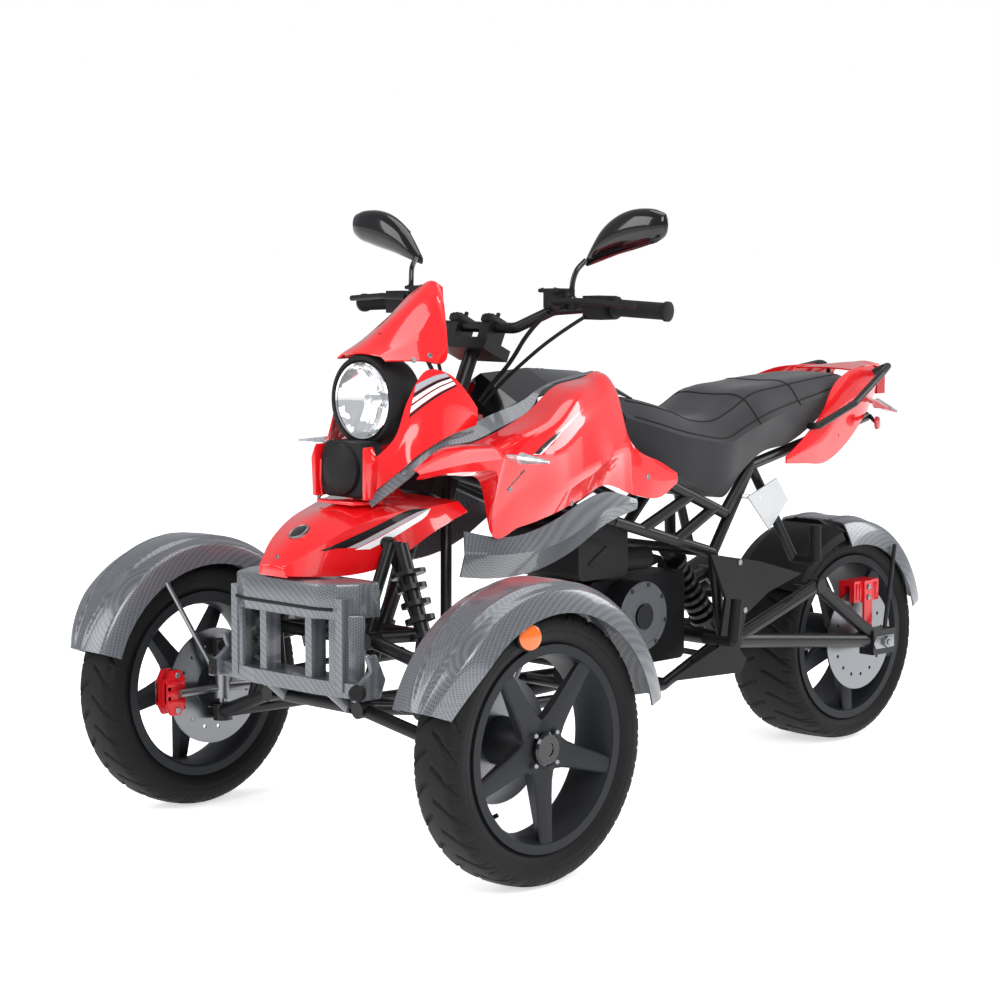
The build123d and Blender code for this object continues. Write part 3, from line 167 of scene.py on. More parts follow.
def lathe(profile, centre, sides=64, axis=(0, 1, 0), closed=True):
    """Shape turned about an axis from rows of radius and height along it."""
    turn = Vector(axis).to_track_quat("Z", "X").to_matrix()
    angles = np.arange(sides) * 2 * math.pi / sides
    rows = [np.stack([r * np.cos(angles), r * np.sin(angles), np.full(sides, h)], 1) for r, h in profile]
    points = np.concatenate(rows) @ np.array(turn).T + np.asarray(centre, float)
    faces = capped(len(rows), sides) if closed else grid_faces(len(rows), sides, around=True)
    return points, [face[::-1] for face in faces]


engine_black = finish_of("cast_black_metal", "131416", 0.5, metallic=0.3, grain_mm=1.6, grain=0.35)
chain_steel = finish_of("oiled_chain_steel", "4C4A48", 0.35, metallic=1.0, grain_mm=1.0, grain=0.3)
cover_grey = finish_of("satin_grey_cover", "4A4C50", 0.42, metallic=0.25, grain_mm=1.2, grain=0.12)
wear(engine_black, "engine exhaust")
wear(chain_steel, "chain sprocket_rear")
cover_at = (0.042, 0.150, 0.380)
cover_steps = [(0.0725, -0.006), (0.0725, 0.001), (0.0705, 0.0028), (0.0600, 0.0034), (0.0575, 0.0016),
               (0.0330, 0.0016), (0.0310, 0.0034), (0.0285, 0.0034), (0.0275, 0.0004)]
piece("engine_cover", lathe(cover_steps, cover_at, 72), cover_grey)
screw_circle, screw_count, first_angle = 0.0665, 8, 0.2
cover_screw = [(0.0044, 0.0), (0.0044, 0.0050), (0.0032, 0.0060), (0.0014, 0.0060)]
cover_screws = []
for angle in np.arange(screw_count) * 2 * math.pi / screw_count + first_angle:
    across, up = screw_circle * math.cos(angle), screw_circle * math.sin(angle)
    cover_screws.append(lathe(cover_screw, (cover_at[0] + across, cover_at[1], cover_at[2] + up), 16))
piece("engine_cover_screws", joined(cover_screws), frame_black)


# Air box: a moulded black case above the engine, with a raised chevron on each side. Moulded plastic
# has a fine even grain and a dull shine.
def mirrored(shape):
    """The same shape on the other side of the centre plane."""
    points, faces = shape
    return points * (1, -1, 1), [tuple(face[::-1]) for face in faces]


def both(*shapes):
    """Shapes of the left side and their mirror images, as one."""
    return joined([*shapes, *map(mirrored, shapes)])


def slab(outline, low, high, axis=1, bevel=0.0015):
    """Plate between two planes across an axis, with eased edges; the outline's pairs skip that axis."""
    form = bmesh.new()
    rings = []
    for level in (low, high):
        rings.append([form.verts.new(np.insert(np.asarray(pair, float), axis, level)) for pair in outline])
    form.faces.new(rings[0])
    form.faces.new(rings[1][::-1])
    for i in range(len(outline)):
        j = (i + 1) % len(outline)
        form.faces.new((rings[0][j], rings[0][i], rings[1][i], rings[1][j]))
    bmesh.ops.recalc_face_normals(form, faces=form.faces)
    if bevel:
        bmesh.ops.bevel(form, geom=form.edges[:], offset=bevel, segments=2, profile=0.5, affect="EDGES")
    form.verts.index_update()
    shape = (np.array([v.co[:] for v in form.verts]), [tuple(v.index for v in f.verts) for f in form.faces])
    form.free()
    return shape


moulded_black = finish_of("moulded_black_plastic", "121214", 0.55, grain_mm=0.9, grain=0.25)
wear(moulded_black, "air_box")
chevron_line = [(0.190, 0.557), (0.095, 0.531), (0.165, 0.492), (0.173, 0.498), (0.118, 0.531),
                (0.190, 0.549)]
chevron = slab(chevron_line, 0.1144, 0.1175, 1, 0.0008)
piece("air_box_chevrons", both(chevron), moulded_black)


# Wheels: rubber tyres with moulded treads on cast five-spoke wheels in matte grey paint, and turned
# steel brake discs. Rubber is dull and uneven, turned steel a soft mirror. A gloss black cap and four
# nuts sit on each hub, and a rubber valve stands in the rim.
def smooth(points, steps):
    """Rows filled in between along the first axis by cubic pieces through the given ones."""
    points = np.asarray(points, float)
    gaps = np.linalg.norm(np.diff(points, axis=0), axis=-1).reshape(len(points) - 1, -1).mean(axis=1)
    run = np.concatenate([[0.0], np.cumsum(np.maximum(gaps, 1e-6))])
    slope = np.gradient(points, run, axis=0)
    rows = []
    for index, gap in enumerate(np.diff(run)):
        for t in np.arange(steps) / steps:
            rows.append((1 + 2 * t) * (1 - t) ** 2 * points[index] + t * t * (3 - 2 * t) * points[index + 1]
                        + gap * t * (1 - t) * ((1 - t) * slope[index] - t * slope[index + 1]))
    return np.array(rows + [points[-1]])


def tube(points, radius, sides=10, steps=6):
    """Round tube along a smooth line through the points, capped at both ends."""
    line = smooth(points, steps) if steps > 1 else np.asarray(points, float)
    ahead = np.gradient(line, axis=0)
    ahead /= np.linalg.norm(ahead, axis=1, keepdims=True)
    radii = np.broadcast_to(np.asarray(radius, float), (len(line),))
    side = np.cross(ahead[0], (0.0, 0.0, 1.0) if abs(ahead[0][2]) < 0.9 else (1.0, 0.0, 0.0))
    rings = []
    for centre, way, r in zip(line, ahead, radii):
        side = side - way * (side @ way)
        side /= np.linalg.norm(side)
        over = np.cross(way, side)
        angles = np.arange(sides) * 2 * math.pi / sides
        rings.append(centre + r * (np.cos(angles)[:, None] * side + np.sin(angles)[:, None] * over))
    return np.concatenate(rings), capped(len(rings), sides)


tyre_rubber = finish_of("tyre_rubber", "0B0B0C", 0.62, grain_mm=1.1, grain=0.3, spread=0.1)
soft_rubber = finish_of("soft_black_rubber", "0E0E0F", 0.6, grain_mm=1.0, grain=0.3)
wheel_grey = finish_of("matte_grey_wheel_paint", "25272A", 0.48, metallic=0.35, grain_mm=0.7, grain=0.08)
disc_steel = finish_of("turned_disc_steel", "85878A", 0.34, metallic=1.0, grain_mm=1.1, grain=0.15)
gloss_black = finish_of("gloss_black_plastic", "0B0B0D", 0.14, coat=0.6, grain_mm=0.8, grain=0.02)
wear(tyre_rubber, "tyre_front_left tyre_front_right tyre_rear")
wear(wheel_grey, "rim_front_left rim_front_right rim_rear")
wear(disc_steel, "disc_front_left disc_front_right disc_rear")
front_axle, rear_axle = np.array([0.7305, 0.4865, 0.253]), np.array([-0.7565, 0.0, 0.2405])
rim_radius = 0.19
tread_steps = 480
sipe_count, nick_count = 26, 52
sipe_depth = 0.0042


def tread(radius, half, rim_half):
    """Tyre outline turned about the axle, with sipes and short nicks cut into it.

    A sipe swoops back with the 1.6th power of its distance from the middle, and a nick cuts the shoulder.
    """
    tall = radius - rim_radius
    rows = [(0.1786, rim_half - 0.0123), (rim_radius, rim_half - 0.0063)]
    rows += [(rim_radius + tall * up, half * out) for up, out in (
        (0.28, 0.965), (0.5, 1.0), (0.78, 0.93), (0.93, 0.72), (0.985, 0.38), (1.0, 0.0))]
    outline = smooth(rows + [(r, -y) for r, y in rows[-2::-1]], 7)
    turn = np.arange(tread_steps) * 2 * math.pi / tread_steps
    reach, level = outline[:, 0][:, None], outline[:, 1][:, None]
    across = np.abs(level / half)
    swoop = (turn * sipe_count / (2 * math.pi) + 0.5 * (level > 0) + 0.9 * across ** 1.6) % 1.0
    sipe = np.clip(1.6 - np.abs(swoop - 0.5) / 0.055, 0, 1)
    sipe = sipe * ((across > 0.1) & (reach > rim_radius + tall * 0.72))
    short = (turn * nick_count / (2 * math.pi) + 0.5 * across) % 1.0
    nick = np.clip(1.5 - np.abs(short - 0.5) / 0.08, 0, 1)
    nick = nick * ((across > 0.72) & (reach > rim_radius + tall * 0.6))
    ring = 0.0012 * np.exp(-((reach - (rim_radius + tall * 0.42)) / 0.0012) ** 2)
    depth = reach - sipe_depth * np.clip(sipe + 0.6 * nick, 0, 1)
    width = np.broadcast_to(level - np.sign(level) * ring, depth.shape)
    points = np.stack([depth * np.cos(turn), width, depth * np.sin(turn)], -1)
    faces = grid_faces(len(outline), tread_steps, around=True)
    last = (len(outline) - 1) * tread_steps
    faces += [(c, last + c, last + (c + 1) % tread_steps, (c + 1) % tread_steps) for c in range(tread_steps)]
    return points.reshape(-1, 3), faces


barrel_sides = 96
spoke_count = 5
nut_circle = 0.0385
spoke_rows = [
    # radius, half width of the face, depth of the face under the lip, thickness
    (0.026, 0.026, 0.0125, 0.024), (0.046, 0.0255, 0.0118, 0.030), (0.060, 0.0215, 0.0108, 0.030),
    (0.085, 0.0185, 0.0088, 0.028), (0.120, 0.0162, 0.0062, 0.024), (0.155, 0.0140, 0.0036, 0.020),
    (0.1765, 0.0130, 0.0012, 0.016)]


def spoke(angle, rim_half):
    """Spoke of eight-sided sections along a radius, with a flat face and flared lower edges."""
    out = np.array([math.cos(angle), 0, math.sin(angle)])
    flat = np.array([-math.sin(angle), 0, math.cos(angle)])
    corners = []
    for radius, wide, deep, thick in spoke_rows:
        top = rim_half - deep
        section = ((-wide, top - 0.0010), (-wide * 0.2, top), (wide * 0.2, top), (wide, top - 0.0010),
                   (wide + 0.003, top - 0.0045), (wide * 0.8, top - thick), (-wide * 0.8, top - thick),
                   (-wide - 0.003, top - 0.0045))
        corners += [out * radius + flat * side + np.array([0, level, 0]) for side, level in section]
    return np.array(corners), capped(len(spoke_rows), 8)


def cast_wheel(rim_half, hub_back, seat_count):
    """Lipped barrel and hub turned about the axle, with spokes between them and seats for the nuts."""
    lip = [(0.1726, rim_half), (0.1897, rim_half), (0.1897, rim_half - 0.006), (0.1783, rim_half - 0.012)]
    well = [(0.168, -rim_half + 0.004), (0.162, -rim_half * 0.55), (0.162, rim_half * 0.4),
            (0.168, rim_half - 0.012)]
    barrel = lip + [(r, -h) for r, h in lip[::-1]] + well
    points, faces = lathe(barrel, (0, 0, 0), barrel_sides, closed=False)
    last = (len(barrel) - 1) * barrel_sides
    faces += [(c, last + c, last + (c + 1) % barrel_sides, (c + 1) % barrel_sides)
              for c in range(barrel_sides)]
    hub = [(0.018, hub_back), (0.045, hub_back), (0.045, rim_half - 0.034), (0.052, rim_half - 0.026),
           (0.052, rim_half - 0.015), (0.047, rim_half - 0.0125), (0.018, rim_half - 0.0125)]
    shapes = [(points, faces), lathe(hub, (0, 0, 0), 48)]
    shapes += [spoke(2 * math.pi * index / spoke_count - math.pi / 2, rim_half)
               for index in range(spoke_count)]
    for angle in (np.arange(seat_count) + 0.5) * 2 * math.pi / seat_count:
        seat_at = (nut_circle * math.cos(angle), rim_half - 0.0125, nut_circle * math.sin(angle))
        shapes.append(lathe([(0.0085, -0.002), (0.0085, 0.0012), (0.0065, 0.0012)], seat_at, 20))
    return joined(shapes)


def on_axle(shape, face_side, axle):
    """Shape turned to face its own side of the trike and moved to its axle."""
    points, faces = shape
    return points * (1, face_side, 1) + axle, [tuple(face)[::face_side] for face in faces]


wheel_table = (
    # name, axle's middle, tyre half width, rim half width, hub's back, nut seats, side it faces
    ("front_left", front_axle, 0.054, 0.048, -0.080, 4, 1),
    ("front_right", front_axle * (1, -1, 1), 0.054, 0.048, -0.080, 4, -1),
    ("rear", rear_axle, 0.092, 0.084, -0.098, 5, 1),
)
cap_rows = [(0.001, -0.002), (0.029, -0.002), (0.031, 0.002), (0.031, 0.010), (0.027, 0.0135),
            (0.013, 0.0135), (0.012, 0.0115), (0.001, 0.0115)]
nut_rows = [(0.0052, 0.0), (0.0052, 0.0075), (0.0035, 0.0095)]
for name, axle, half, rim_half, hub_back, seat_count, face_side in wheel_table:
    body = "wheel_" + name
    tread_points, tread_faces = tread(axle[2], half, rim_half)
    piece("tyre_tread_" + name, (tread_points + axle, tread_faces), tyre_rubber, ["tyre_" + name], body, 50)
    wheel = on_axle(cast_wheel(rim_half, hub_back, seat_count), face_side, axle)
    piece("cast_wheel_" + name, wheel, wheel_grey, ["rim_" + name], body, 28)
    cap = lathe(cap_rows, (0, rim_half - 0.0125, 0), 40)
    nuts = []
    for angle in (np.arange(4) + 0.5) * math.pi / 2:
        nut_at = (nut_circle * math.cos(angle), rim_half - 0.0118, nut_circle * math.sin(angle))
        nuts.append(lathe(nut_rows, nut_at, 6))
    valve = tube([(0.11, rim_half * 0.2, -0.115), (0.103, rim_half * 0.45, -0.107)], 0.004, 8, 1)
    for part, shape, material in (("hub_cap_", cap, gloss_black), ("wheel_nuts_", joined(nuts), cast_alloy),
                                  ("valve_", valve, soft_rubber)):
        piece(part + name, on_axle(shape, face_side, axle), material, body=body)


# Brake calipers: cast alloy painted red, bolted to the knuckles and to the swing arm. The front ones
# have a bridge, ribs and bolts and open towards the axle; the rear one shows ribs and two bolts.
def block(centre, size, bevel=0.003, turn=None):
    """Box with eased edges, turned about its centre."""
    half = np.asarray(size, float) / 2
    points, faces = slab([(-half[0], -half[2]), (half[0], -half[2]), (half[0], half[2]), (-half[0], half[2])],
                         -half[1], half[1], 1, bevel)
    if turn is not None:
        points = points @ np.array(turn).T
    return points + np.asarray(centre, float), faces


red_paint = finish_of("red_caliper_paint", "C3141D", 0.32, coat=0.5, grain_mm=1.5, grain=0.15)
wear(red_paint, "caliper_left caliper_right caliper_rear")
casting_outline = ((-1, -0.6), (-0.5, -1), (0.5, -1), (1, -0.5), (1, 0.5), (0.5, 1), (-0.5, 1), (-1, 0.6))
bridge_depth, rib_rise, disc_slot = 0.012, 0.003, 0.0085
rib_levels, bolt_levels = (-0.42, 0.0, 0.42), (-0.78, 0.78)
bolt_rows = [(0.0062, -0.001), (0.0062, 0.002), (0.0052, 0.0028), (0.003, 0.0028)]
for side in ("left", "right"):
    plain = bpy.data.objects[f"caliper_{side}"]
    corners = np.array([plain.matrix_world @ Vector(corner) for corner in plain.bound_box])
    middle, half = (corners.min(0) + corners.max(0)) / 2, (corners.max(0) - corners.min(0)) / 2
    outline = [(middle[0] + half[0] * x, middle[2] + half[2] * z) for x, z in casting_outline]
    casting = [block((middle[0] + half[0] - bridge_depth / 2, middle[1], middle[2]),
                     (bridge_depth, (half[1] - rib_rise) * 2, half[2] * 1.2), 0.002)]
    bolts = []
    for way in (-1, 1):
        face = middle[1] + way * (half[1] - rib_rise)
        casting.append(slab(outline, *sorted((middle[1] + way * disc_slot, face)), 1, 0.003))
        for level in rib_levels:
            place = (middle[0] + half[0] * 0.1, face + way * 0.0008, middle[2] + half[2] * level)
            casting.append(block(place, (half[0] * 1.7, 0.004, 0.012), 0.0014))
        for level in bolt_levels:
            place = (middle[0] - half[0] * 0.1, face, middle[2] + half[2] * level)
            bolts.append(lathe(bolt_rows, place, 12, (0, way, 0)))
    piece(f"caliper_casting_{side}", joined(casting), red_paint, [f"caliper_{side}"], f"knuckle_{side}")
    piece(f"caliper_bolts_{side}", joined(bolts), cast_alloy, body=f"knuckle_{side}")
rear_ribs = [block((forward, 0.1284, 0.3520), (0.007, 0.0036, 0.038), 0.0012)
             for forward in (-0.792, -0.781, -0.732, -0.721)]
piece("rear_caliper_ribs", joined(rear_ribs), red_paint)
rear_bolts = [lathe([(0.0062, -0.001), (0.0062, 0.003), (0.0050, 0.0038), (0.0028, 0.0038)],
                    (rear_axle[0], 0.134, up), 12) for up in (0.338, 0.362)]
piece("rear_caliper_bolts", joined(rear_bolts), cast_alloy)


# Rear axle ends: an alloy plate on each end of the swing arm, and the axle's nut outside it, with the
# axle's tip showing.
plate_outline = [(-0.790, 0.226), (-0.722, 0.226), (-0.714, 0.2405), (-0.722, 0.255), (-0.790, 0.255)]
axle_nut = [(0.0135, 0.0), (0.0135, 0.0085), (0.0118, 0.0100), (0.0072, 0.0100), (0.0072, 0.0130),
            (0.0060, 0.0138)]
axle_ends = []
for way in (-1, 1):
    axle_ends.append(slab(plate_outline, *sorted((way * 0.1812, way * 0.1836)), 1, 0.0008))
    axle_ends.append(lathe(axle_nut, rear_axle + (0, way * 0.1834, 0), 6, (0, way, 0)))
piece("rear_axle_plates", joined(axle_ends), cast_alloy)


# Fenders: moulded plastic printed in two greys like carbon cloth. Each front one has two ribs that
# meet like an arrow and an amber reflector, and turns with its knuckle. The rear one is fixed.
square_mm, weave_turn = 3.0, (0.6, 0.3, math.pi / 4)


def woven_grey():
    """Plastic printed like carbon cloth: small twill squares of two greys under a clear coat."""
    material, tree, shader = new_material("carbon_look_plastic", {
        "Roughness": 0.3, "Metallic": 0.25, "Coat Weight": 0.5})
    place = add(tree, "ShaderNodeTexCoord").outputs["Object"]
    turned = add(tree, "ShaderNodeMapping", {"Vector": place, "Rotation": weave_turn}).outputs[0]
    weave = add(tree, "ShaderNodeTexChecker", {"Vector": turned, "Scale": 1000 / square_mm,
                                               "Color1": linear("6F7277"), "Color2": linear("4A4D52")})
    slow = add(tree, "ShaderNodeTexNoise", {"Vector": place, "Scale": 5.0, "Detail": 2.0})
    shade = add(tree, "ShaderNodeMapRange", {"Value": slow.outputs[0], "From Min": 0.3, "From Max": 0.7,
                                             "To Min": 0.92, "To Max": 1.08}).outputs[0]
    base = add(tree, "ShaderNodeHueSaturation", {"Color": weave.outputs[0], "Value": shade}).outputs[0]
    tree.links.new(base, shader.inputs["Base Color"])
    bump = add(tree, "ShaderNodeBump", {"Height": weave.outputs[1], "Strength": 0.1, "Distance": 0.0003})
    tree.links.new(bump.outputs[0], shader.inputs["Normal"])
    return material


def shell(grid, wall, outward):
    """Closed sheet of a wall's thickness under a grid of points whose normals look outward."""
    rows, columns = grid.shape[:2]
    normal = np.cross(np.gradient(grid, axis=0), np.gradient(grid, axis=1))
    normal /= np.maximum(np.linalg.norm(normal, axis=-1, keepdims=True), 1e-9)
    if (normal @ np.asarray(outward, float)).mean() < 0:
        grid, normal = grid[:, ::-1], -normal[:, ::-1]
    top, under = grid.reshape(-1, 3), (grid - normal * wall).reshape(-1, 3)
    faces = grid_faces(rows, columns)
    faces += [tuple(i + len(top) for i in face[::-1]) for face in grid_faces(rows, columns)]
    rim = ([c for c in range(columns)] + [r * columns + columns - 1 for r in range(1, rows)]
           + [(rows - 1) * columns + c for c in range(columns - 2, -1, -1)]
           + [r * columns for r in range(rows - 2, 0, -1)])
    faces += [(rim[(i + 1) % len(rim)], rim[i], rim[i] + len(top), rim[(i + 1) % len(rim)] + len(top))
              for i in range(len(rim))]
    return np.concatenate([top, under]), faces


carbon_look = woven_grey()
amber_lens = finish_of("amber_reflector", "E2681C", 0.12, coat=1.0, grain_mm=3.0, grain=0.6, distance=0.001)
wear(carbon_look, "fender_left fender_right rear_fender")
wear(moulded_black, "rear_hugger")
panel_wall = 0.0035
base_rows = [(0.001, -0.012), (0.024, -0.012), (0.0255, 0.001), (0.024, 0.003), (0.001, 0.003)]
lens_rows = [(0.001, 0.002), (0.0225, 0.002), (0.0225, 0.005), (0.019, 0.0075), (0.001, 0.0085)]
first_degree, last_degree, cover_half, cover_reach = 19, 168, 0.081, 0.3015
along = np.linspace(math.radians(first_degree), math.radians(last_degree), 90)
angle, share = np.meshgrid(along, np.linspace(-1, 1, 61), indexing="ij")
from_front = np.degrees(angle) - first_degree
# The outer half narrows over the first 26 degrees, and both edges roll over in their last fifth.
outer = cover_half - 0.040 * np.clip(1 - from_front / 26, 0, 1) ** 1.5
level = share * np.where(share > 0, outer, cover_half)
drop = 0.016 * np.abs(share) ** 2.5 + 0.036 * np.clip((np.abs(share) - 0.82) / 0.18, 0, 1) ** 1.5
# The ribs stand 4.5 mm high and part with the 0.7th power of the angle; the field between is raised too.
spread = 0.16 + 0.40 * np.clip(from_front / 75, 0, 1) ** 0.7
aside = np.abs(share - 0.05)
rib = 0.0045 * np.clip(1 - np.abs(aside - spread) / 0.10, 0, 1) * np.clip(from_front / 8, 0, 1)
rib = rib + 0.0035 * np.clip((spread - aside) / 0.05, 0, 1) * np.clip((from_front - 18) / 12, 0, 1)
reach = cover_reach - drop + rib * np.clip((150 - from_front) / 30, 0, 1)
points = np.stack([reach * np.cos(angle), level, reach * np.sin(angle)], -1) + front_axle
left_cover = shell(points, panel_wall, (0, 0, 1))
for name, sign, cover in (("left", 1, left_cover), ("right", -1, mirrored(left_cover))):
    body = "knuckle_" + name
    piece("ribbed_fender_" + name, cover, carbon_look, ["fender_" + name], body, 40)
    lens_place, lens_axis = (0.803, 0.5555 * sign, 0.4665), (0.25, 0.93 * sign, 0.05)
    for part, rows, material in (("side_reflector_base_", base_rows, moulded_black),
                                 ("side_reflector_", lens_rows, amber_lens)):
        piece(part + name, lathe(rows, lens_place, 40, lens_axis), material, body=body)

rear_first, rear_last, rear_half, rear_reach = 82, 166, 0.110, 0.2765
along = np.linspace(math.radians(rear_first), math.radians(rear_last), 70)
angle, share = np.meshgrid(along, np.linspace(-1, 1, 49), indexing="ij")
drop = 0.012 * np.abs(share) ** 3 + 0.048 * np.clip((np.abs(share) - 0.80) / 0.20, 0, 1) ** 1.4
rib = 0.004 * np.clip(1 - np.abs(np.abs(share) - 0.45) / 0.08, 0, 1)
reach = rear_reach - drop + rib
points = np.stack([reach * np.cos(angle), share * rear_half, reach * np.sin(angle)], -1) + rear_axle
rear_cover = shell(points, panel_wall, (0, 0, 1))
piece("ribbed_rear_fender", rear_cover, carbon_look, ["rear_fender"], sharp=40)


# Bumper: the CAD bar with a rounded brow, corner flanks and upturned ends moulded in the same printed
# plastic. A black line runs along the brow, and a black boss stands out at each corner.
wear(carbon_look, "bumper")
brow = slab([(0.904, -0.100), (0.904, 0.100), (0.890, 0.142), (0.846, 0.168), (0.800, 0.170),
             (0.800, -0.170), (0.846, -0.168), (0.890, -0.142)], 0.461, 0.529, 2, 0.007)
brow_line = slab([(0.9065, -0.098), (0.9065, 0.098), (0.894, 0.140), (0.890, 0.136), (0.898, 0.096),
                  (0.898, -0.096), (0.890, -0.136), (0.894, -0.140)], 0.478, 0.484, 2, 0.001)
flank = slab([(0.893, 0.126), (0.884, 0.150), (0.848, 0.176), (0.840, 0.170), (0.874, 0.144),
              (0.882, 0.122)], 0.345, 0.470, 2, 0.003)
upturned_end = slab([(0.905, 0.318), (0.899, 0.345), (0.862, 0.372), (0.872, 0.398), (0.850, 0.402),
                     (0.826, 0.352), (0.840, 0.318)], 0.200, 0.212, 1, 0.003)
boss = lathe([(0.001, -0.004), (0.016, -0.004), (0.016, 0.008), (0.012, 0.011), (0.001, 0.011)],
             (0.893, 0.206, 0.334), 24, (0.8, 0.6, 0))
piece("bumper_brow", brow, carbon_look)
piece("bumper_brow_line", brow_line, moulded_black)
piece("bumper_flanks", both(flank, upturned_end), carbon_look)
piece("bumper_end_bosses", both(boss), moulded_black)


# Foot panels and pegs: moulded black plates on both sides of the engine, each with three screws, and
# pegs of soft black rubber.
wear(moulded_black, "foot_panels")
wear(soft_rubber, "foot_pegs")
foot_screw = [(0.0062, -0.001), (0.0062, 0.0016), (0.0048, 0.0028), (0.0018, 0.0028)]
foot_screws = [lathe(foot_screw, place, 20) for place in (
    (-0.2133, 0.1980, 0.4740), (-0.2317, 0.1980, 0.3695), (-0.0594, 0.1920, 0.2640))]
piece("foot_panel_screws", both(*foot_screws), cast_alloy)


# Nose cone: one wide moulded shell painted gloss red, from the cowls down to its blunt tip, folded at
# the shoulders. Red under a clear coat gives sharp lights. It carries three films, a screw and a bare
# round badge, and a lip closes it between its flanks.
wheelbase, half_width, forward_shift = 1.487, 0.5, -0.013


def spot(rows):
    """Places in metres from forward, left and up: shares of wheelbase and half width, and metres."""
    return np.asarray(rows, float) * (wheelbase, half_width, 1.0) + (forward_shift, 0.0, 0.0)


def section_grid(rows, creases, along, across, whole=False):
    """Grid through body sections of forward, then left and up pairs, smooth apart from the creases."""
    stations = []
    for forward, *pairs in rows:
        half = [(forward, left, up) for left, up in zip(pairs[::2], pairs[1::2])]
        stations.append([(f, -left, up) for f, left, up in half[:0:-1]] + half if whole else half)
    skin = smooth(spot(stations), along)
    cuts = [0, *creases, skin.shape[1] - 1]
    strips = [smooth(np.swapaxes(skin[:, a:b + 1], 0, 1), across) for a, b in zip(cuts, cuts[1:])]
    return np.swapaxes(np.concatenate([s[:-1] for s in strips[:-1]] + [strips[-1]]), 0, 1)


viewer = Vector((3.0, 3.0, 0.9))


def held(target, points, lift):
    """Points moved to the nearest place of a piece, a film's thickness above it, and the normals there."""
    surface = BVHTree.FromPolygons([v.co for v in target.data.vertices],
                                   [tuple(p.vertices) for p in target.data.polygons])
    places, ways = [], []
    for point in points:
        place, way, _, _ = surface.find_nearest(Vector(point))
        if way.dot(viewer - place) < 0:
            way = -way
        places.append(place + way * lift)
        ways.append(way)
    return np.array(places), np.array(ways)


def film(target, first, last, low, high, lift=0.0006):
    """Sheet between two lines on a piece, from one share of the way across to another, on both sides."""
    first, last = smooth(first, 5), smooth(last, 5)
    rows = [first + (last - first) * share for share in np.linspace(low, high, 5)]
    points, _ = held(target, np.concatenate(rows), lift)
    shape = (points, grid_faces(len(rows), len(first)))
    return both(shape)


def buttons(target, points, radius=0.0056):
    """Button screw heads that stand on a piece, on both sides."""
    places, ways = held(target, points, 0.0)
    rows = [(radius, -0.001), (radius, 0.0012), (radius * 0.75, 0.0024), (radius * 0.35, 0.0024),
            (radius * 0.3, 0.0012)]
    heads = [lathe(rows, place, 20, way) for place, way in zip(places, ways)]
    return both(*heads)


red_gloss = finish_of("red_gloss_paint", "E0141A", 0.22, coat=1.0, grain_mm=0.6, grain=0.02, spread=0.03)
white_film, silver_film, black_film = [
    finish_of(name, colour, 0.25, coat=0.8, grain_mm=0.8, grain=0.02)
    for name, colour in (("white_film", "F0F0F2"), ("silver_film", "A4A8AD"), ("black_film", "0C0C0E"))]
wear(red_gloss, "nose_cone")
nose_rows = [
    (0.405, 0, 0.668, 0.320, 0.662, 0.370, 0.645),
    (0.443, 0, 0.667, 0.290, 0.655, 0.320, 0.611),
    (0.498, 0, 0.659, 0.225, 0.643, 0.215, 0.546),
    (0.545, 0, 0.640, 0.185, 0.624, 0.180, 0.533),
    (0.590, 0, 0.603, 0.140, 0.590, 0.140, 0.534),
    (0.628, 0, 0.556, 0.070, 0.552, 0.075, 0.537),
]
nose_shell = shell(section_grid(nose_rows, (1, 3), 8, 6, whole=True), panel_wall, (0, 0, 1))
nose = piece("smooth_nose_cone", nose_shell, red_gloss, ["nose_cone"])
wedge_top = [(0.8627, 0.0707, 0.5823), (0.8045, 0.0899, 0.6034), (0.7435, 0.1069, 0.6262),
             (0.6863, 0.1288, 0.6501), (0.6480, 0.1460, 0.6520)]
wedge_foot = [(0.7586, 0.1006, 0.5795), (0.7153, 0.1151, 0.5979), (0.6823, 0.1328, 0.6195),
              (0.6560, 0.1440, 0.6380), (0.6480, 0.1460, 0.6520)]
for colour, paint, low, high in (("black", black_film, 0.0, 0.40), ("silver", silver_film, 0.42, 0.62),
                                 ("white", white_film, 0.66, 0.96)):
    piece(f"nose_wedge_{colour}", film(nose, wedge_top, wedge_foot, low, high), paint)
piece("nose_screw", buttons(nose, [(0.9065, 0.0, 0.5677)], 0.0045), cast_alloy)
(badge_place,), (badge_way,) = held(nose, [(0.845, 0.0, 0.600)], 0.0042)
badge_rim = [(0.021, -0.006), (0.021, 0.0018), (0.019, 0.0028), (0.0175, 0.0018), (0.0175, -0.006)]
badge_disc = [(0.0176, -0.006), (0.0176, 0.0016), (0.012, 0.0024), (0.004, 0.0028)]
piece("bare_badge_rim", lathe(badge_rim, badge_place, 40, badge_way), cast_alloy)
piece("bare_badge", lathe(badge_disc, badge_place, 40, badge_way), gloss_black)
lip_line = [(-0.0400, 0.5335), (0.0400, 0.5335), (0.0385, 0.5560), (-0.0385, 0.5560)]
piece("nose_front_lip", slab(lip_line, 0.9140, 0.9185, 0, 0.0015), red_gloss)


# Side panels: a strip of the same printed plastic under each side cowl, moulded in one piece and bent
# along a crease.
wear(carbon_look, "side_panels")
under_rows = [
    (0.404, 0.350, 0.605, 0.355, 0.560, 0.330, 0.515),
    (0.350, 0.385, 0.588, 0.405, 0.555, 0.330, 0.505),
    (0.240, 0.385, 0.612, 0.395, 0.565, 0.310, 0.512),
    (0.190, 0.365, 0.635, 0.375, 0.585, 0.312, 0.535),
    (0.120, 0.332, 0.650, 0.345, 0.615, 0.320, 0.585),
    (0.060, 0.322, 0.628, 0.328, 0.620, 0.324, 0.608),
]
under = shell(section_grid(under_rows, (1,), 8, 5), panel_wall, (0, 1, 0))
piece("smooth_side_panels", both(under), carbon_look, ["side_panels"])


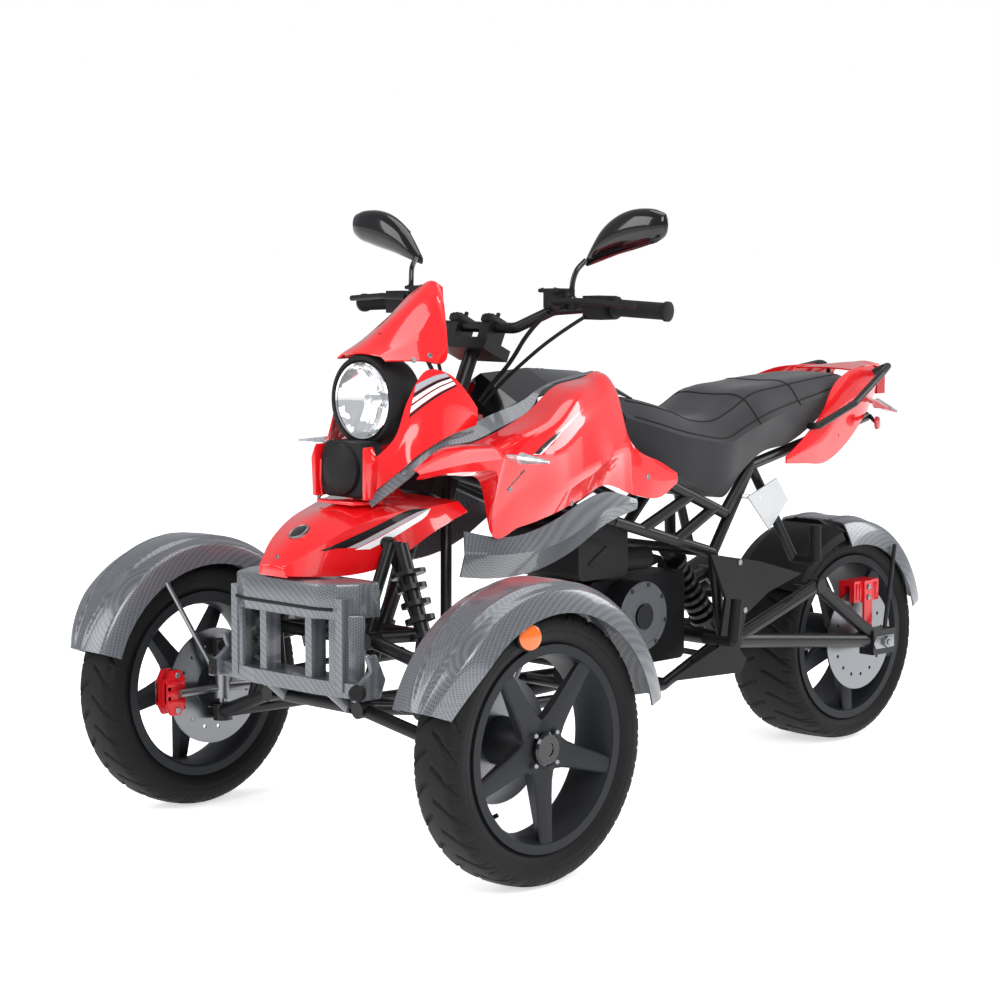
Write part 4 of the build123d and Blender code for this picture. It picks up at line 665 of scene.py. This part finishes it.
# Side cowls: gloss red shells with a top ledge, a rolled shoulder, a crease along the widest line and
# a lower blade. A white spear with a black one on it, black slits and three screws lie on each.
wear(red_gloss, "side_cowls")
side_cowl_rows = [
    (0.468, 0.272, 0.727, 0.290, 0.724, 0.305, 0.719, 0.300, 0.713, 0.290, 0.708),
    (0.412, 0.270, 0.765, 0.350, 0.760, 0.430, 0.740, 0.420, 0.722, 0.350, 0.712),
    (0.380, 0.295, 0.769, 0.420, 0.765, 0.480, 0.745, 0.460, 0.715, 0.365, 0.695),
    (0.370, 0.300, 0.771, 0.430, 0.765, 0.480, 0.745, 0.405, 0.640, 0.390, 0.600),
    (0.322, 0.300, 0.791, 0.430, 0.783, 0.490, 0.745, 0.435, 0.680, 0.410, 0.606),
    (0.267, 0.285, 0.820, 0.430, 0.802, 0.475, 0.752, 0.455, 0.672, 0.405, 0.620),
    (0.194, 0.230, 0.866, 0.360, 0.850, 0.405, 0.800, 0.430, 0.700, 0.380, 0.645),
    (0.130, 0.195, 0.877, 0.270, 0.868, 0.320, 0.838, 0.385, 0.725, 0.340, 0.665),
    (0.076, 0.170, 0.883, 0.210, 0.875, 0.240, 0.858, 0.320, 0.742, 0.325, 0.642),
    (0.062, 0.300, 0.742, 0.303, 0.738, 0.305, 0.735, 0.315, 0.700, 0.320, 0.636),
    (0.003, 0.310, 0.697, 0.311, 0.694, 0.312, 0.690, 0.315, 0.660, 0.310, 0.627),
    (-0.030, 0.310, 0.672, 0.310, 0.670, 0.311, 0.668, 0.312, 0.660, 0.310, 0.652),
]
side_shell = shell(section_grid(side_cowl_rows, (2, 3), 8, 6), panel_wall, (0, 1, 0.3))
side_cowls = piece("smooth_side_cowls", both(side_shell), red_gloss, ["side_cowls"])
spear_top = [(0.4686, 0.2426, 0.7481), (0.4256, 0.2334, 0.7662), (0.3801, 0.2250, 0.7865),
             (0.3295, 0.2122, 0.8066), (0.2746, 0.1933, 0.8246)]
spear_foot = [(0.4475, 0.2437, 0.7469), (0.4056, 0.2331, 0.7670), (0.3644, 0.2235, 0.7875),
              (0.3182, 0.2097, 0.8078), (0.2746, 0.1933, 0.8246)]
dark_top = [(0.4640, 0.2420, 0.7500), (0.4247, 0.2325, 0.7681), (0.3875, 0.2266, 0.7831),
            (0.3640, 0.2230, 0.7900)]
dark_foot = [(0.4520, 0.2430, 0.7480), (0.4150, 0.2340, 0.7655), (0.3830, 0.2270, 0.7800),
             (0.3640, 0.2230, 0.7900)]
slit_top = [(0.5450, 0.1994, 0.6638), (0.5180, 0.2160, 0.6930), (0.4890, 0.2300, 0.7240)]
slit_foot = [(0.5450, 0.1994, 0.6638), (0.5110, 0.2190, 0.6870), (0.4800, 0.2360, 0.7180)]
over_film = 0.0011
piece("cowl_stripe_white", film(side_cowls, spear_top, spear_foot, 0, 1), white_film)
piece("cowl_stripe_black", film(side_cowls, dark_top, dark_foot, 0, 1, over_film), black_film)
piece("cowl_slits", film(side_cowls, slit_top, slit_foot, 0, 1), black_film)
cowl_screws = [(0.5074, 0.2188, 0.6836), (0.0380, 0.1575, 0.6707), (0.3100, 0.1950, 0.6400)]
piece("cowl_screws", buttons(side_cowls, cowl_screws), cast_alloy)


# Headlamp cowls: gloss red moulded cheeks beside the lamp. Silver, white and black films run across
# each of them in six bands.
wear(red_gloss, "headlamp_cowl")
cheek_rows = [
    (0.352, 0.268, 0.835, 0.270, 0.818, 0.262, 0.802),
    (0.366, 0.270, 0.858, 0.275, 0.830, 0.266, 0.798),
    (0.404, 0.258, 0.906, 0.268, 0.845, 0.268, 0.785),
    (0.430, 0.228, 0.912, 0.245, 0.840, 0.262, 0.770),
    (0.454, 0.200, 0.858, 0.215, 0.810, 0.250, 0.751),
    (0.473, 0.190, 0.790, 0.200, 0.760, 0.236, 0.731),
    (0.490, 0.160, 0.757, 0.165, 0.725, 0.170, 0.696),
    (0.509, 0.125, 0.735, 0.128, 0.700, 0.120, 0.667),
]
cheek = shell(section_grid(cheek_rows, (1,), 8, 6), panel_wall, (0, 1, 0))
cheeks = piece("smooth_headlamp_cowls", both(cheek), red_gloss, ["headlamp_cowl"])
cheek_top = [(0.6473, 0.1055, 0.8864), (0.6296, 0.1145, 0.8955), (0.6102, 0.1218, 0.9027),
             (0.5900, 0.1284, 0.9059)]
cheek_foot = [(0.6647, 0.1041, 0.8224), (0.6374, 0.1169, 0.8445), (0.6052, 0.1275, 0.8645),
              (0.5663, 0.1342, 0.8803)]
for colour, paint, spans in (("silver", silver_film, [(0.02, 0.26)]),
                             ("white", white_film, [(0.42, 0.58), (0.66, 0.86)]),
                             ("black", black_film, [(0.28, 0.40), (0.60, 0.64), (0.90, 1.0)])):
    bands = joined([film(cheeks, cheek_top, cheek_foot, *span) for span in spans])
    piece(f"cheek_bands_{colour}", bands, paint)


# Visor: a gloss red moulded shell over the headlamp. It stands on a black stay, and two screws show on
# each side.
wear(red_gloss, "visor")
visor_rows = [
    (0.348, 0, 1.079, 0.030, 1.076, 0.060, 1.068),
    (0.364, 0, 1.062, 0.080, 1.050, 0.130, 1.000),
    (0.386, 0, 1.038, 0.110, 1.015, 0.200, 0.930),
    (0.430, 0, 0.992, 0.140, 0.965, 0.188, 0.930),
    (0.474, 0, 0.944, 0.110, 0.941, 0.140, 0.932),
]
visor_shell = shell(section_grid(visor_rows, (1, 3), 8, 6, whole=True), panel_wall, (0.6, 0, 0.8))
visor = piece("smooth_visor", visor_shell, red_gloss, ["visor"])
piece("visor_screws", buttons(visor, [(0.640, 0.095, 0.935), (0.600, 0.105, 0.945)]), cast_alloy)
stay = tube([(0.640, 0, 0.938), (0.640, 0, 0.980)], 0.005, 12, 1)
piece("visor_stay", stay, moulded_black)


# Console: a gloss black moulding before the rider, edged by a band of the printed plastic with one
# screw on each side.
wear(gloss_black, "console")
wear(carbon_look, "console_trim")
trim_rows = [
    (0.505, 0.135, 0.670, 0.155, 0.655),
    (0.472, 0.225, 0.727, 0.262, 0.712),
    (0.412, 0.245, 0.778, 0.260, 0.764),
    (0.367, 0.235, 0.797, 0.290, 0.774),
    (0.321, 0.225, 0.815, 0.290, 0.794),
    (0.248, 0.225, 0.845, 0.268, 0.832),
    (0.224, 0.215, 0.860, 0.238, 0.857),
    (0.141, 0.165, 0.882, 0.186, 0.878),
    (0.085, 0.140, 0.890, 0.156, 0.886),
]
trim_wall = 0.003
band = shell(section_grid(trim_rows, (), 6, 3), trim_wall, (0, 0.3, 1))
trim = piece("smooth_console_trim", both(band), carbon_look, ["console_trim"])
piece("trim_screws", buttons(trim, [(0.6901, 0.1167, 0.7218)]), cast_alloy)


# Headlamp and turn signals: a black bezel round a bright bowl with upright flutes, a bulb cap and a
# chrome ring under a clear dome. The signals' lenses stand over reflectors, so they look mirror-like.
def clear_lens():
    """Clear lamp lens over a bright reflector: mirror-like with a soft white body."""
    material, tree, shader = new_material("clear_lamp_lens", {
        "Metallic": 0.6, "Roughness": 0.12, "Coat Weight": 1.0})
    place = add(tree, "ShaderNodeTexCoord").outputs["Object"]
    flutes = add(tree, "ShaderNodeTexVoronoi", {"Vector": place, "Scale": 55.0})
    tone = add(tree, "ShaderNodeValToRGB", {"Fac": flutes.outputs["Distance"]})
    tone.color_ramp.elements[0].color = linear("F4F6F8")
    tone.color_ramp.elements[1].color = linear("A9AEB4")
    tree.links.new(tone.outputs[0], shader.inputs["Base Color"])
    bump = add(tree, "ShaderNodeBump", {"Height": flutes.outputs["Distance"], "Strength": 0.4,
                                        "Distance": 0.002})
    tree.links.new(bump.outputs[0], shader.inputs["Normal"])
    return material


def clear_glass():
    """Lamp glass: nearly clear and very smooth, with a faint ripple that bends its lights."""
    material, tree, shader = new_material("clear_lamp_glass", {
        "Base Color": linear("FFFFFF"), "Alpha": 0.16, "Roughness": 0.02, "Coat Weight": 1.0})
    waves = add(tree, "ShaderNodeTexNoise", {"Scale": 60.0, "Detail": 1.0})
    ripple = add(tree, "ShaderNodeBump", {"Height": waves.outputs[0], "Strength": 0.05, "Distance": 0.001})
    tree.links.new(ripple.outputs[0], shader.inputs["Normal"])
    return material


lamp_lens = clear_lens()
chrome = finish_of("lamp_chrome", "E8EAEC", 0.08, metallic=1.0, coat=1.0, grain_mm=4.0, grain=0.1)
glass = clear_glass()
wear(lamp_lens, "headlamp turn_signals")
wear(moulded_black, "headlamp_bucket")
lamp, ahead = (0.6859, 0.0, 0.852), (1, 0, 0)
bezel_rows = [(0.0755, -0.036), (0.0755, 0.002), (0.079, 0.007), (0.086, 0.006), (0.0898, -0.002),
              (0.0898, -0.030), (0.087, -0.058), (0.078, -0.0795), (0.02, -0.0795), (0.02, -0.036)]
piece("lamp_bezel", lathe(bezel_rows, lamp, 72, ahead), moulded_black, ["headlamp_bucket"])
bowl_rows = [(0.0725, 0.0), (0.070, -0.004), (0.062, -0.014), (0.048, -0.024), (0.030, -0.032),
             (0.012, -0.036), (0.001, -0.037)]
bowl_points, bowl_faces = lathe(smooth(bowl_rows, 4), lamp, 72, ahead, closed=False)
flute_rise, flutes_per_metre, flute_reach = 0.0016, 190, 0.07
from_middle = np.hypot(bowl_points[:, 1], bowl_points[:, 2] - lamp[2])
flutes = flute_rise * np.abs(np.sin(bowl_points[:, 1] * flutes_per_metre))
bowl_points[:, 0] += flutes * np.clip(from_middle / flute_reach, 0, 1)
piece("lamp_bowl", (bowl_points, bowl_faces), chrome, ["headlamp"], sharp=60)
ring_rows = [(0.0705, -0.006), (0.0752, -0.006), (0.0752, 0.005), (0.0735, 0.007), (0.0705, 0.005)]
piece("lamp_ring", lathe(ring_rows, lamp, 72, ahead, closed=False), chrome)
bulb_rows = [(0.001, -0.036), (0.013, -0.036), (0.013, -0.014), (0.011, -0.010), (0.001, -0.009)]
piece("bulb_cap", lathe(bulb_rows, lamp, 32, ahead), chrome)
dome_rows = [(0.0705, 0.004), (0.060, 0.0060), (0.040, 0.0066), (0.020, 0.0069), (0.001, 0.0070)]
piece("lamp_glass", lathe(dome_rows, lamp, 72, ahead, closed=False), glass)


# Horn cover: a moulded black housing under the lamp with a shallow dome that six ribs cross, gloss
# red pillars beside it and a red lip below.
wear(moulded_black, "horn_cover")
horn_middle, rib_start, rib_fall = 0.722, 0.016, 0.20
housing = slab([(-0.052, 0.669), (0.052, 0.669), (0.064, 0.690), (0.064, 0.745), (0.050, 0.776),
                (-0.050, 0.776), (-0.064, 0.745), (-0.064, 0.690)], 0.687, 0.742, 0, 0.006)
dome = lathe([(0.001, 0.016), (0.020, 0.0155), (0.038, 0.012), (0.047, 0.007), (0.0495, 0.0),
              (0.0495, -0.01), (0.001, -0.01)], (0.7425, 0, horn_middle), 56, ahead)
rib_line = [(-0.003, 0.010), (0.003, 0.010), (0.007, 0.040), (-0.007, 0.040)]
ribs = []
for angle in np.arange(6) * math.pi / 3:
    points, faces = slab(rib_line, 0.750, 0.7585, 0, 0.0012)
    forward, left, up = points.T
    back = rib_fall * np.maximum(np.hypot(left, up) - rib_start, 0)
    turned = (forward - back, left * math.cos(angle) - up * math.sin(angle),
              left * math.sin(angle) + up * math.cos(angle) + horn_middle)
    ribs.append((np.stack(turned, 1), faces))
piece("horn_housing", joined([housing, dome] + ribs), moulded_black, ["horn_cover"], sharp=30)
pillar = slab([(0.066, 0.668), (0.076, 0.668), (0.080, 0.742), (0.067, 0.770)], 0.722, 0.752, 0, 0.003)
piece("horn_pillars", both(pillar), red_gloss)
horn_lip = slab([(0.700, -0.070), (0.762, -0.052), (0.762, 0.052), (0.700, 0.070)], 0.657, 0.664, 2, 0.002)
piece("horn_lip", horn_lip, red_gloss)


# Handlebar fittings: rubber grips with 26 ribs, and black clamps, switches and fluid cups with their
# screws.
wear(soft_rubber, "grips")
wear(moulded_black, "controls")
bar_out, bar_end = spot([(0.222, 0.56, 1.030), (0.205, 0.85, 1.023)])
way = (bar_end - bar_out) / np.linalg.norm(bar_end - bar_out)
grip_length, rib_count, rib_pitch = 0.1142, 26, 0.0040
rows = [(0.0115, 0.0), (0.022, 0.0), (0.022, 0.004)]
for height in 0.0055 + np.arange(rib_count) * rib_pitch:
    rows += [(0.0168, height), (0.0156, height + 0.0028)]
rows += [(0.0172, 0.111), (0.0195, 0.113), (0.0195, 0.1200), (0.012, 0.1222), (0.001, 0.1225)]
grip = lathe(rows, bar_end - way * grip_length, 32, tuple(way))
piece("ribbed_grips", both(grip), soft_rubber, ["grips"], "steering", 25)

upright, head_way = (0, 0, 1), (-0.42, 0, 0.9)
clamp_turn = Matrix.Rotation(math.radians(-25), 3, "Y")
fittings = []
for side in (1, -1):
    clamp = spot([(0.262, 0, 0.985)])[0] + (0.004, side * 0.045, 0.012)
    fittings.append(block(clamp, (0.044, 0.026, 0.016), 0.004, clamp_turn))
    for shift in (-0.013, 0.013):
        rows = [(0.0045, 0), (0.0045, 0.012), (0.003, 0.0135)]
        fittings.append(lathe(rows, clamp + (shift, 0, 0.004), 6, head_way))
    cup = spot([(0.243, 0.38 * side, 1.060)])[0]
    fittings.append(block(cup, (0.050, 0.056, 0.008), 0.003))
    for forward, left in ((-0.018, -0.021), (0.018, 0.021), (-0.018, 0.021), (0.018, -0.021)):
        fittings.append(lathe([(0.003, 0), (0.003, 0.0015)], cup + (forward, left, 0.004), 12, upright))
    switch = spot([(0.225, 0.56 * side, 1.028)])[0]
    fittings.append(block(switch + (-0.023, 0, 0.006), (0.006, 0.034, 0.014), 0.002))
    fittings.append(block(switch + (-0.023, 0, -0.012), (0.006, 0.022, 0.010), 0.002))
piece("bar_fittings", joined(fittings), moulded_black, body="steering")


# Hoses and cables: four black rubber lines from the bars down behind the lamp, held to the steering
# head. Each is a curve through five points, in metres.
cable_routes = (
    # knots, radius
    ([(0.372, 0.190, 1.018), (0.382, 0.150, 0.985), (0.386, 0.100, 0.915), (0.405, 0.060, 0.868),
      (0.440, 0.040, 0.812)], 0.0045),
    ([(0.345, 0.262, 1.010), (0.372, 0.205, 0.972), (0.392, 0.120, 0.905), (0.412, 0.072, 0.856),
      (0.446, 0.048, 0.800)], 0.0038),
    ([(0.345, -0.262, 1.010), (0.372, -0.205, 0.972), (0.392, -0.120, 0.905), (0.412, -0.072, 0.856),
      (0.446, -0.048, 0.800)], 0.0045),
    ([(0.372, -0.190, 1.018), (0.392, -0.140, 0.990), (0.402, -0.090, 0.925), (0.420, -0.055, 0.868),
      (0.452, -0.036, 0.806)], 0.0038),
)
for number, (knots, radius) in enumerate(cable_routes, 1):
    route = bpy.data.curves.new(f"bar_cable_{number}", "CURVE")
    route.dimensions = "3D"
    spline = route.splines.new("NURBS")
    spline.points.add(len(knots) - 1)
    for knot, place in zip(spline.points, knots):
        knot.co = (*place, 1.0)
    spline.order_u = 3
    spline.use_endpoint_u = True
    cable = bpy.data.objects.new(route.name, route)
    bpy.context.scene.collection.objects.link(cable)
    bare = np.array([v.co[:] for v in bpy.data.meshes.new_from_object(cable).vertices])
    route.bevel_depth = radius
    route.bevel_resolution = 3
    route.materials.append(soft_rubber)
    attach(cable, "steering")


# Mirrors: pear-shaped gloss black shells on bent stems in rubber boots, with silvered glass that
# looks back at the rider.
wear(moulded_black, "mirrors")
silver = finish_of("mirror_glass", "DDE3E8", 0.03, metallic=1.0, coat=0.5, grain_mm=8.0, grain=0.02)
mirror_forward = spot([(0.215, 0.0, 0.0)])[0][0]
mirror_sides, back_share, pane_share = 32, 0.55, 0.80
mirror_rows = [
    # share of the half width, height, depth, half height
    (0.47, 1.115, 0.008, 0.008), (0.50, 1.127, 0.014, 0.016), (0.56, 1.150, 0.021, 0.030),
    (0.63, 1.167, 0.0245, 0.037), (0.70, 1.177, 0.025, 0.039), (0.77, 1.183, 0.0235, 0.036),
    (0.84, 1.186, 0.018, 0.028), (0.873, 1.188, 0.010, 0.017), (0.8795, 1.188, 0.003, 0.006)]
turn = np.arange(mirror_sides) * 2 * math.pi / mirror_sides
front = np.sign(np.cos(turn)) * np.abs(np.cos(turn)) ** 0.8
rings = []
for left, up, deep, tall in smooth(mirror_rows, 4):
    forward = mirror_forward + np.where(front > 0, front * deep, front * deep * back_share)
    rings.append(np.stack([forward, np.full(mirror_sides, left * half_width), up + tall * np.sin(turn)], 1))
mirror_shell = (np.concatenate(rings), capped(len(rings), mirror_sides))
stem_line = [(0.3439, 0.228, 1.046), (0.3430, 0.228, 1.075), (0.336, 0.233, 1.100), (0.318, 0.240, 1.119)]
stem = tube(stem_line, 0.0055, 12, 5)
boot = lathe([(0.001, 0.0), (0.011, 0.0), (0.011, 0.012), (0.007, 0.020), (0.001, 0.020)],
             (0.3439, 0.228, 1.030), 24, upright)
piece("mirror_shells", both(mirror_shell, stem, boot), gloss_black, ["mirrors"], "steering", 40)
pane_rows = []
for left, up, deep, tall in mirror_rows[2:-2]:
    pane_rows.append([(mirror_forward - deep * back_share - 0.0006, left * half_width,
                       up + level * tall * pane_share) for level in (-1, -0.5, 0, 0.5, 1)])
pane = shell(smooth(pane_rows, 4), 0.001, (-1, 0, 0))
piece("mirror_panes", both(pane), silver, body="steering")


# Seat: one soft foam form on two levels under grained vinyl, which has a faint sheen. Seams run along
# it and across it.
seat_vinyl = finish_of("grained_seat_vinyl", "202023", 0.52, grain_mm=2.2, grain=0.6, sheen=0.15,
                       distance=0.0006)
wear(seat_vinyl, "seat")
seat_rows = [
    (0.030, 0, 0.740, 0.170, 0.742, 0.180, 0.790, 0.110, 0.828, 0, 0.835),
    (-0.020, 0, 0.690, 0.225, 0.693, 0.240, 0.765, 0.160, 0.812, 0, 0.825),
    (-0.063, 0, 0.658, 0.245, 0.660, 0.270, 0.745, 0.180, 0.795, 0, 0.806),
    (-0.100, 0, 0.634, 0.250, 0.636, 0.285, 0.735, 0.190, 0.775, 0, 0.786),
    (-0.150, 0, 0.604, 0.260, 0.607, 0.300, 0.725, 0.200, 0.770, 0, 0.776),
    (-0.190, 0, 0.652, 0.260, 0.655, 0.300, 0.745, 0.200, 0.790, 0, 0.798),
    (-0.235, 0, 0.692, 0.260, 0.694, 0.300, 0.765, 0.200, 0.820, 0, 0.827),
    (-0.301, 0, 0.706, 0.250, 0.708, 0.272, 0.785, 0.190, 0.832, 0, 0.838),
    (-0.340, 0, 0.722, 0.235, 0.725, 0.262, 0.795, 0.185, 0.838, 0, 0.844),
    (-0.400, 0, 0.762, 0.215, 0.765, 0.240, 0.810, 0.170, 0.845, 0, 0.850),
    (-0.457, 0, 0.798, 0.175, 0.800, 0.196, 0.825, 0.145, 0.849, 0, 0.854),
    (-0.490, 0, 0.822, 0.130, 0.824, 0.152, 0.836, 0.105, 0.846, 0, 0.849),
]
half_columns = section_grid(seat_rows, (1, 2), 6, 5)
full = np.concatenate([half_columns, (half_columns * (1, -1, 1))[:, -2:0:-1]], axis=1)
seat_shape = (full.reshape(-1, 3), [face[::-1] for face in capped(*full.shape[:2])])
seat = piece("seat_cushion", seat_shape, seat_vinyl, ["seat"], sharp=45)
seam_columns, seam_rows, seam_radius, seam_lift = (11, 15), (34, 46), 0.0016, (0, 0, 0.0004)
seams = []
for column in seam_columns:
    for sign in (1, -1):
        line = half_columns[2:-2, column] * (1, sign, 1)
        seams.append(tube(line + seam_lift, seam_radius, 6, 1))
for row in seam_rows:
    line = np.concatenate([half_columns[row, 10:-1], (half_columns[row, 10:] * (1, -1, 1))[::-1]])
    seams.append(tube(line + seam_lift, seam_radius, 6, 1))
piece("seat_seams", joined(seams), soft_rubber)


# Tail: two long gloss red sides and a flat top behind the seat, with a red lamp, a blank alloy plate
# and a red reflector on a short black bracket at each side.
red_lens = finish_of("red_reflector", "B01218", 0.12, coat=1.0, grain_mm=3.0, grain=0.6, distance=0.001)
plate_alloy = finish_of("plate_alloy", "C9CBCC", 0.35, metallic=0.8, grain_mm=2.0, grain=0.1)
wear(red_gloss, "tail_cowl")
wear(red_lens, "tail_lamp")
wear(plate_alloy, "number_plate")
tail_rows = [
    (-0.285, 0.286, 0.682, 0.289, 0.675, 0.286, 0.667),
    (-0.330, 0.284, 0.722, 0.290, 0.694, 0.282, 0.663),
    (-0.380, 0.276, 0.780, 0.284, 0.720, 0.270, 0.659),
    (-0.405, 0.262, 0.822, 0.276, 0.750, 0.262, 0.668),
    (-0.456, 0.225, 0.855, 0.245, 0.790, 0.232, 0.698),
    (-0.520, 0.170, 0.864, 0.200, 0.820, 0.185, 0.752),
    (-0.578, 0.104, 0.862, 0.130, 0.845, 0.115, 0.800),
]
tail_side = shell(section_grid(tail_rows, (1,), 8, 6), panel_wall, (0, 1, 0))
tail_top_rows = [
    (-0.500, 0, 0.862, 0.168, 0.859),
    (-0.555, 0, 0.870, 0.108, 0.865),
    (-0.578, 0, 0.870, 0.082, 0.864),
    (-0.612, 0, 0.866, 0.066, 0.862),
    (-0.623, 0, 0.846, 0.058, 0.843),
]
tail_top = shell(section_grid(tail_top_rows, (), 6, 8, whole=True), panel_wall, (0, 0, 1))
piece("smooth_tail", joined([tail_side, mirrored(tail_side), tail_top]), red_gloss, ["tail_cowl"])
reflector = lathe([(0.0150, -0.003), (0.0150, 0.002), (0.0140, 0.0040), (0.0060, 0.0052)],
                  (-0.788, 0.128, 0.737), 32, (-0.35, 0.93, 0.05))
bracket = tube([(-0.8162, 0.0864, 0.7500), (-0.800, 0.108, 0.742), (-0.7875, 0.1265, 0.737)], 0.0045, 10, 4)
piece("rear_reflectors", both(reflector), red_lens)
piece("rear_reflector_brackets", both(bracket), moulded_black)


# Studio: a pale floor that reads white to the camera, four large soft lights, and a world that looks
# white but lights the trike with less than half of that.
floor_half = 60
floor_mesh = bpy.data.meshes.new("studio_floor")
floor_corners = [(-floor_half, -floor_half, 0), (floor_half, -floor_half, 0), (floor_half, floor_half, 0),
                 (-floor_half, floor_half, 0)]
floor_mesh.from_pydata(floor_corners, [], [(0, 1, 2, 3)])
floor = bpy.data.objects.new("studio_floor", floor_mesh)
bpy.context.scene.collection.objects.link(floor)
floor.location.z = -0.002
floor_paint, _, _ = new_material("pale_studio_floor", {
    "Base Color": linear("FFFFFF"), "Roughness": 0.9, "Emission Color": linear("FFFFFF"),
    "Emission Strength": 0.62})
floor_mesh.materials.append(floor_paint)

world = bpy.data.worlds.new("soft_studio")
bpy.context.scene.world = world
world.use_nodes = True
sky = world.node_tree
rays = add(sky, "ShaderNodeLightPath")
seen = add(sky, "ShaderNodeBackground", {"Color": linear("FFFFFF"), "Strength": 1.0})
lit = add(sky, "ShaderNodeBackground", {"Color": linear("F4F6FA"), "Strength": 0.45})
mixed = add(sky, "ShaderNodeMixShader", {
    0: rays.outputs["Is Camera Ray"], 1: lit.outputs[0], 2: seen.outputs[0]})
sky.links.new(mixed.outputs[0], sky.nodes["World Output"].inputs["Surface"])
aim = Vector((0, 0, 0.5))
for name, place, size, power in (
    ("key_light", (3.0, 4.5, 4.0), 3.0, 205.0),
    ("front_light", (5.0, -2.5, 3.0), 3.0, 115.0),
    ("top_light", (-0.5, 0.5, 5.0), 4.0, 130.0),
    ("back_light", (-4.0, 2.0, 2.5), 2.0, 75.0),
):
    light_data = bpy.data.lights.new(name, "AREA")
    light_data.shape = "SQUARE"
    light_data.size = size
    light_data.energy = power
    light = bpy.data.objects.new(name, light_data)
    bpy.context.scene.collection.objects.link(light)
    light.location = place
    light.rotation_mode = "QUATERNION"
    light.rotation_quaternion = (aim - Vector(place)).to_track_quat("-Z", "Y")
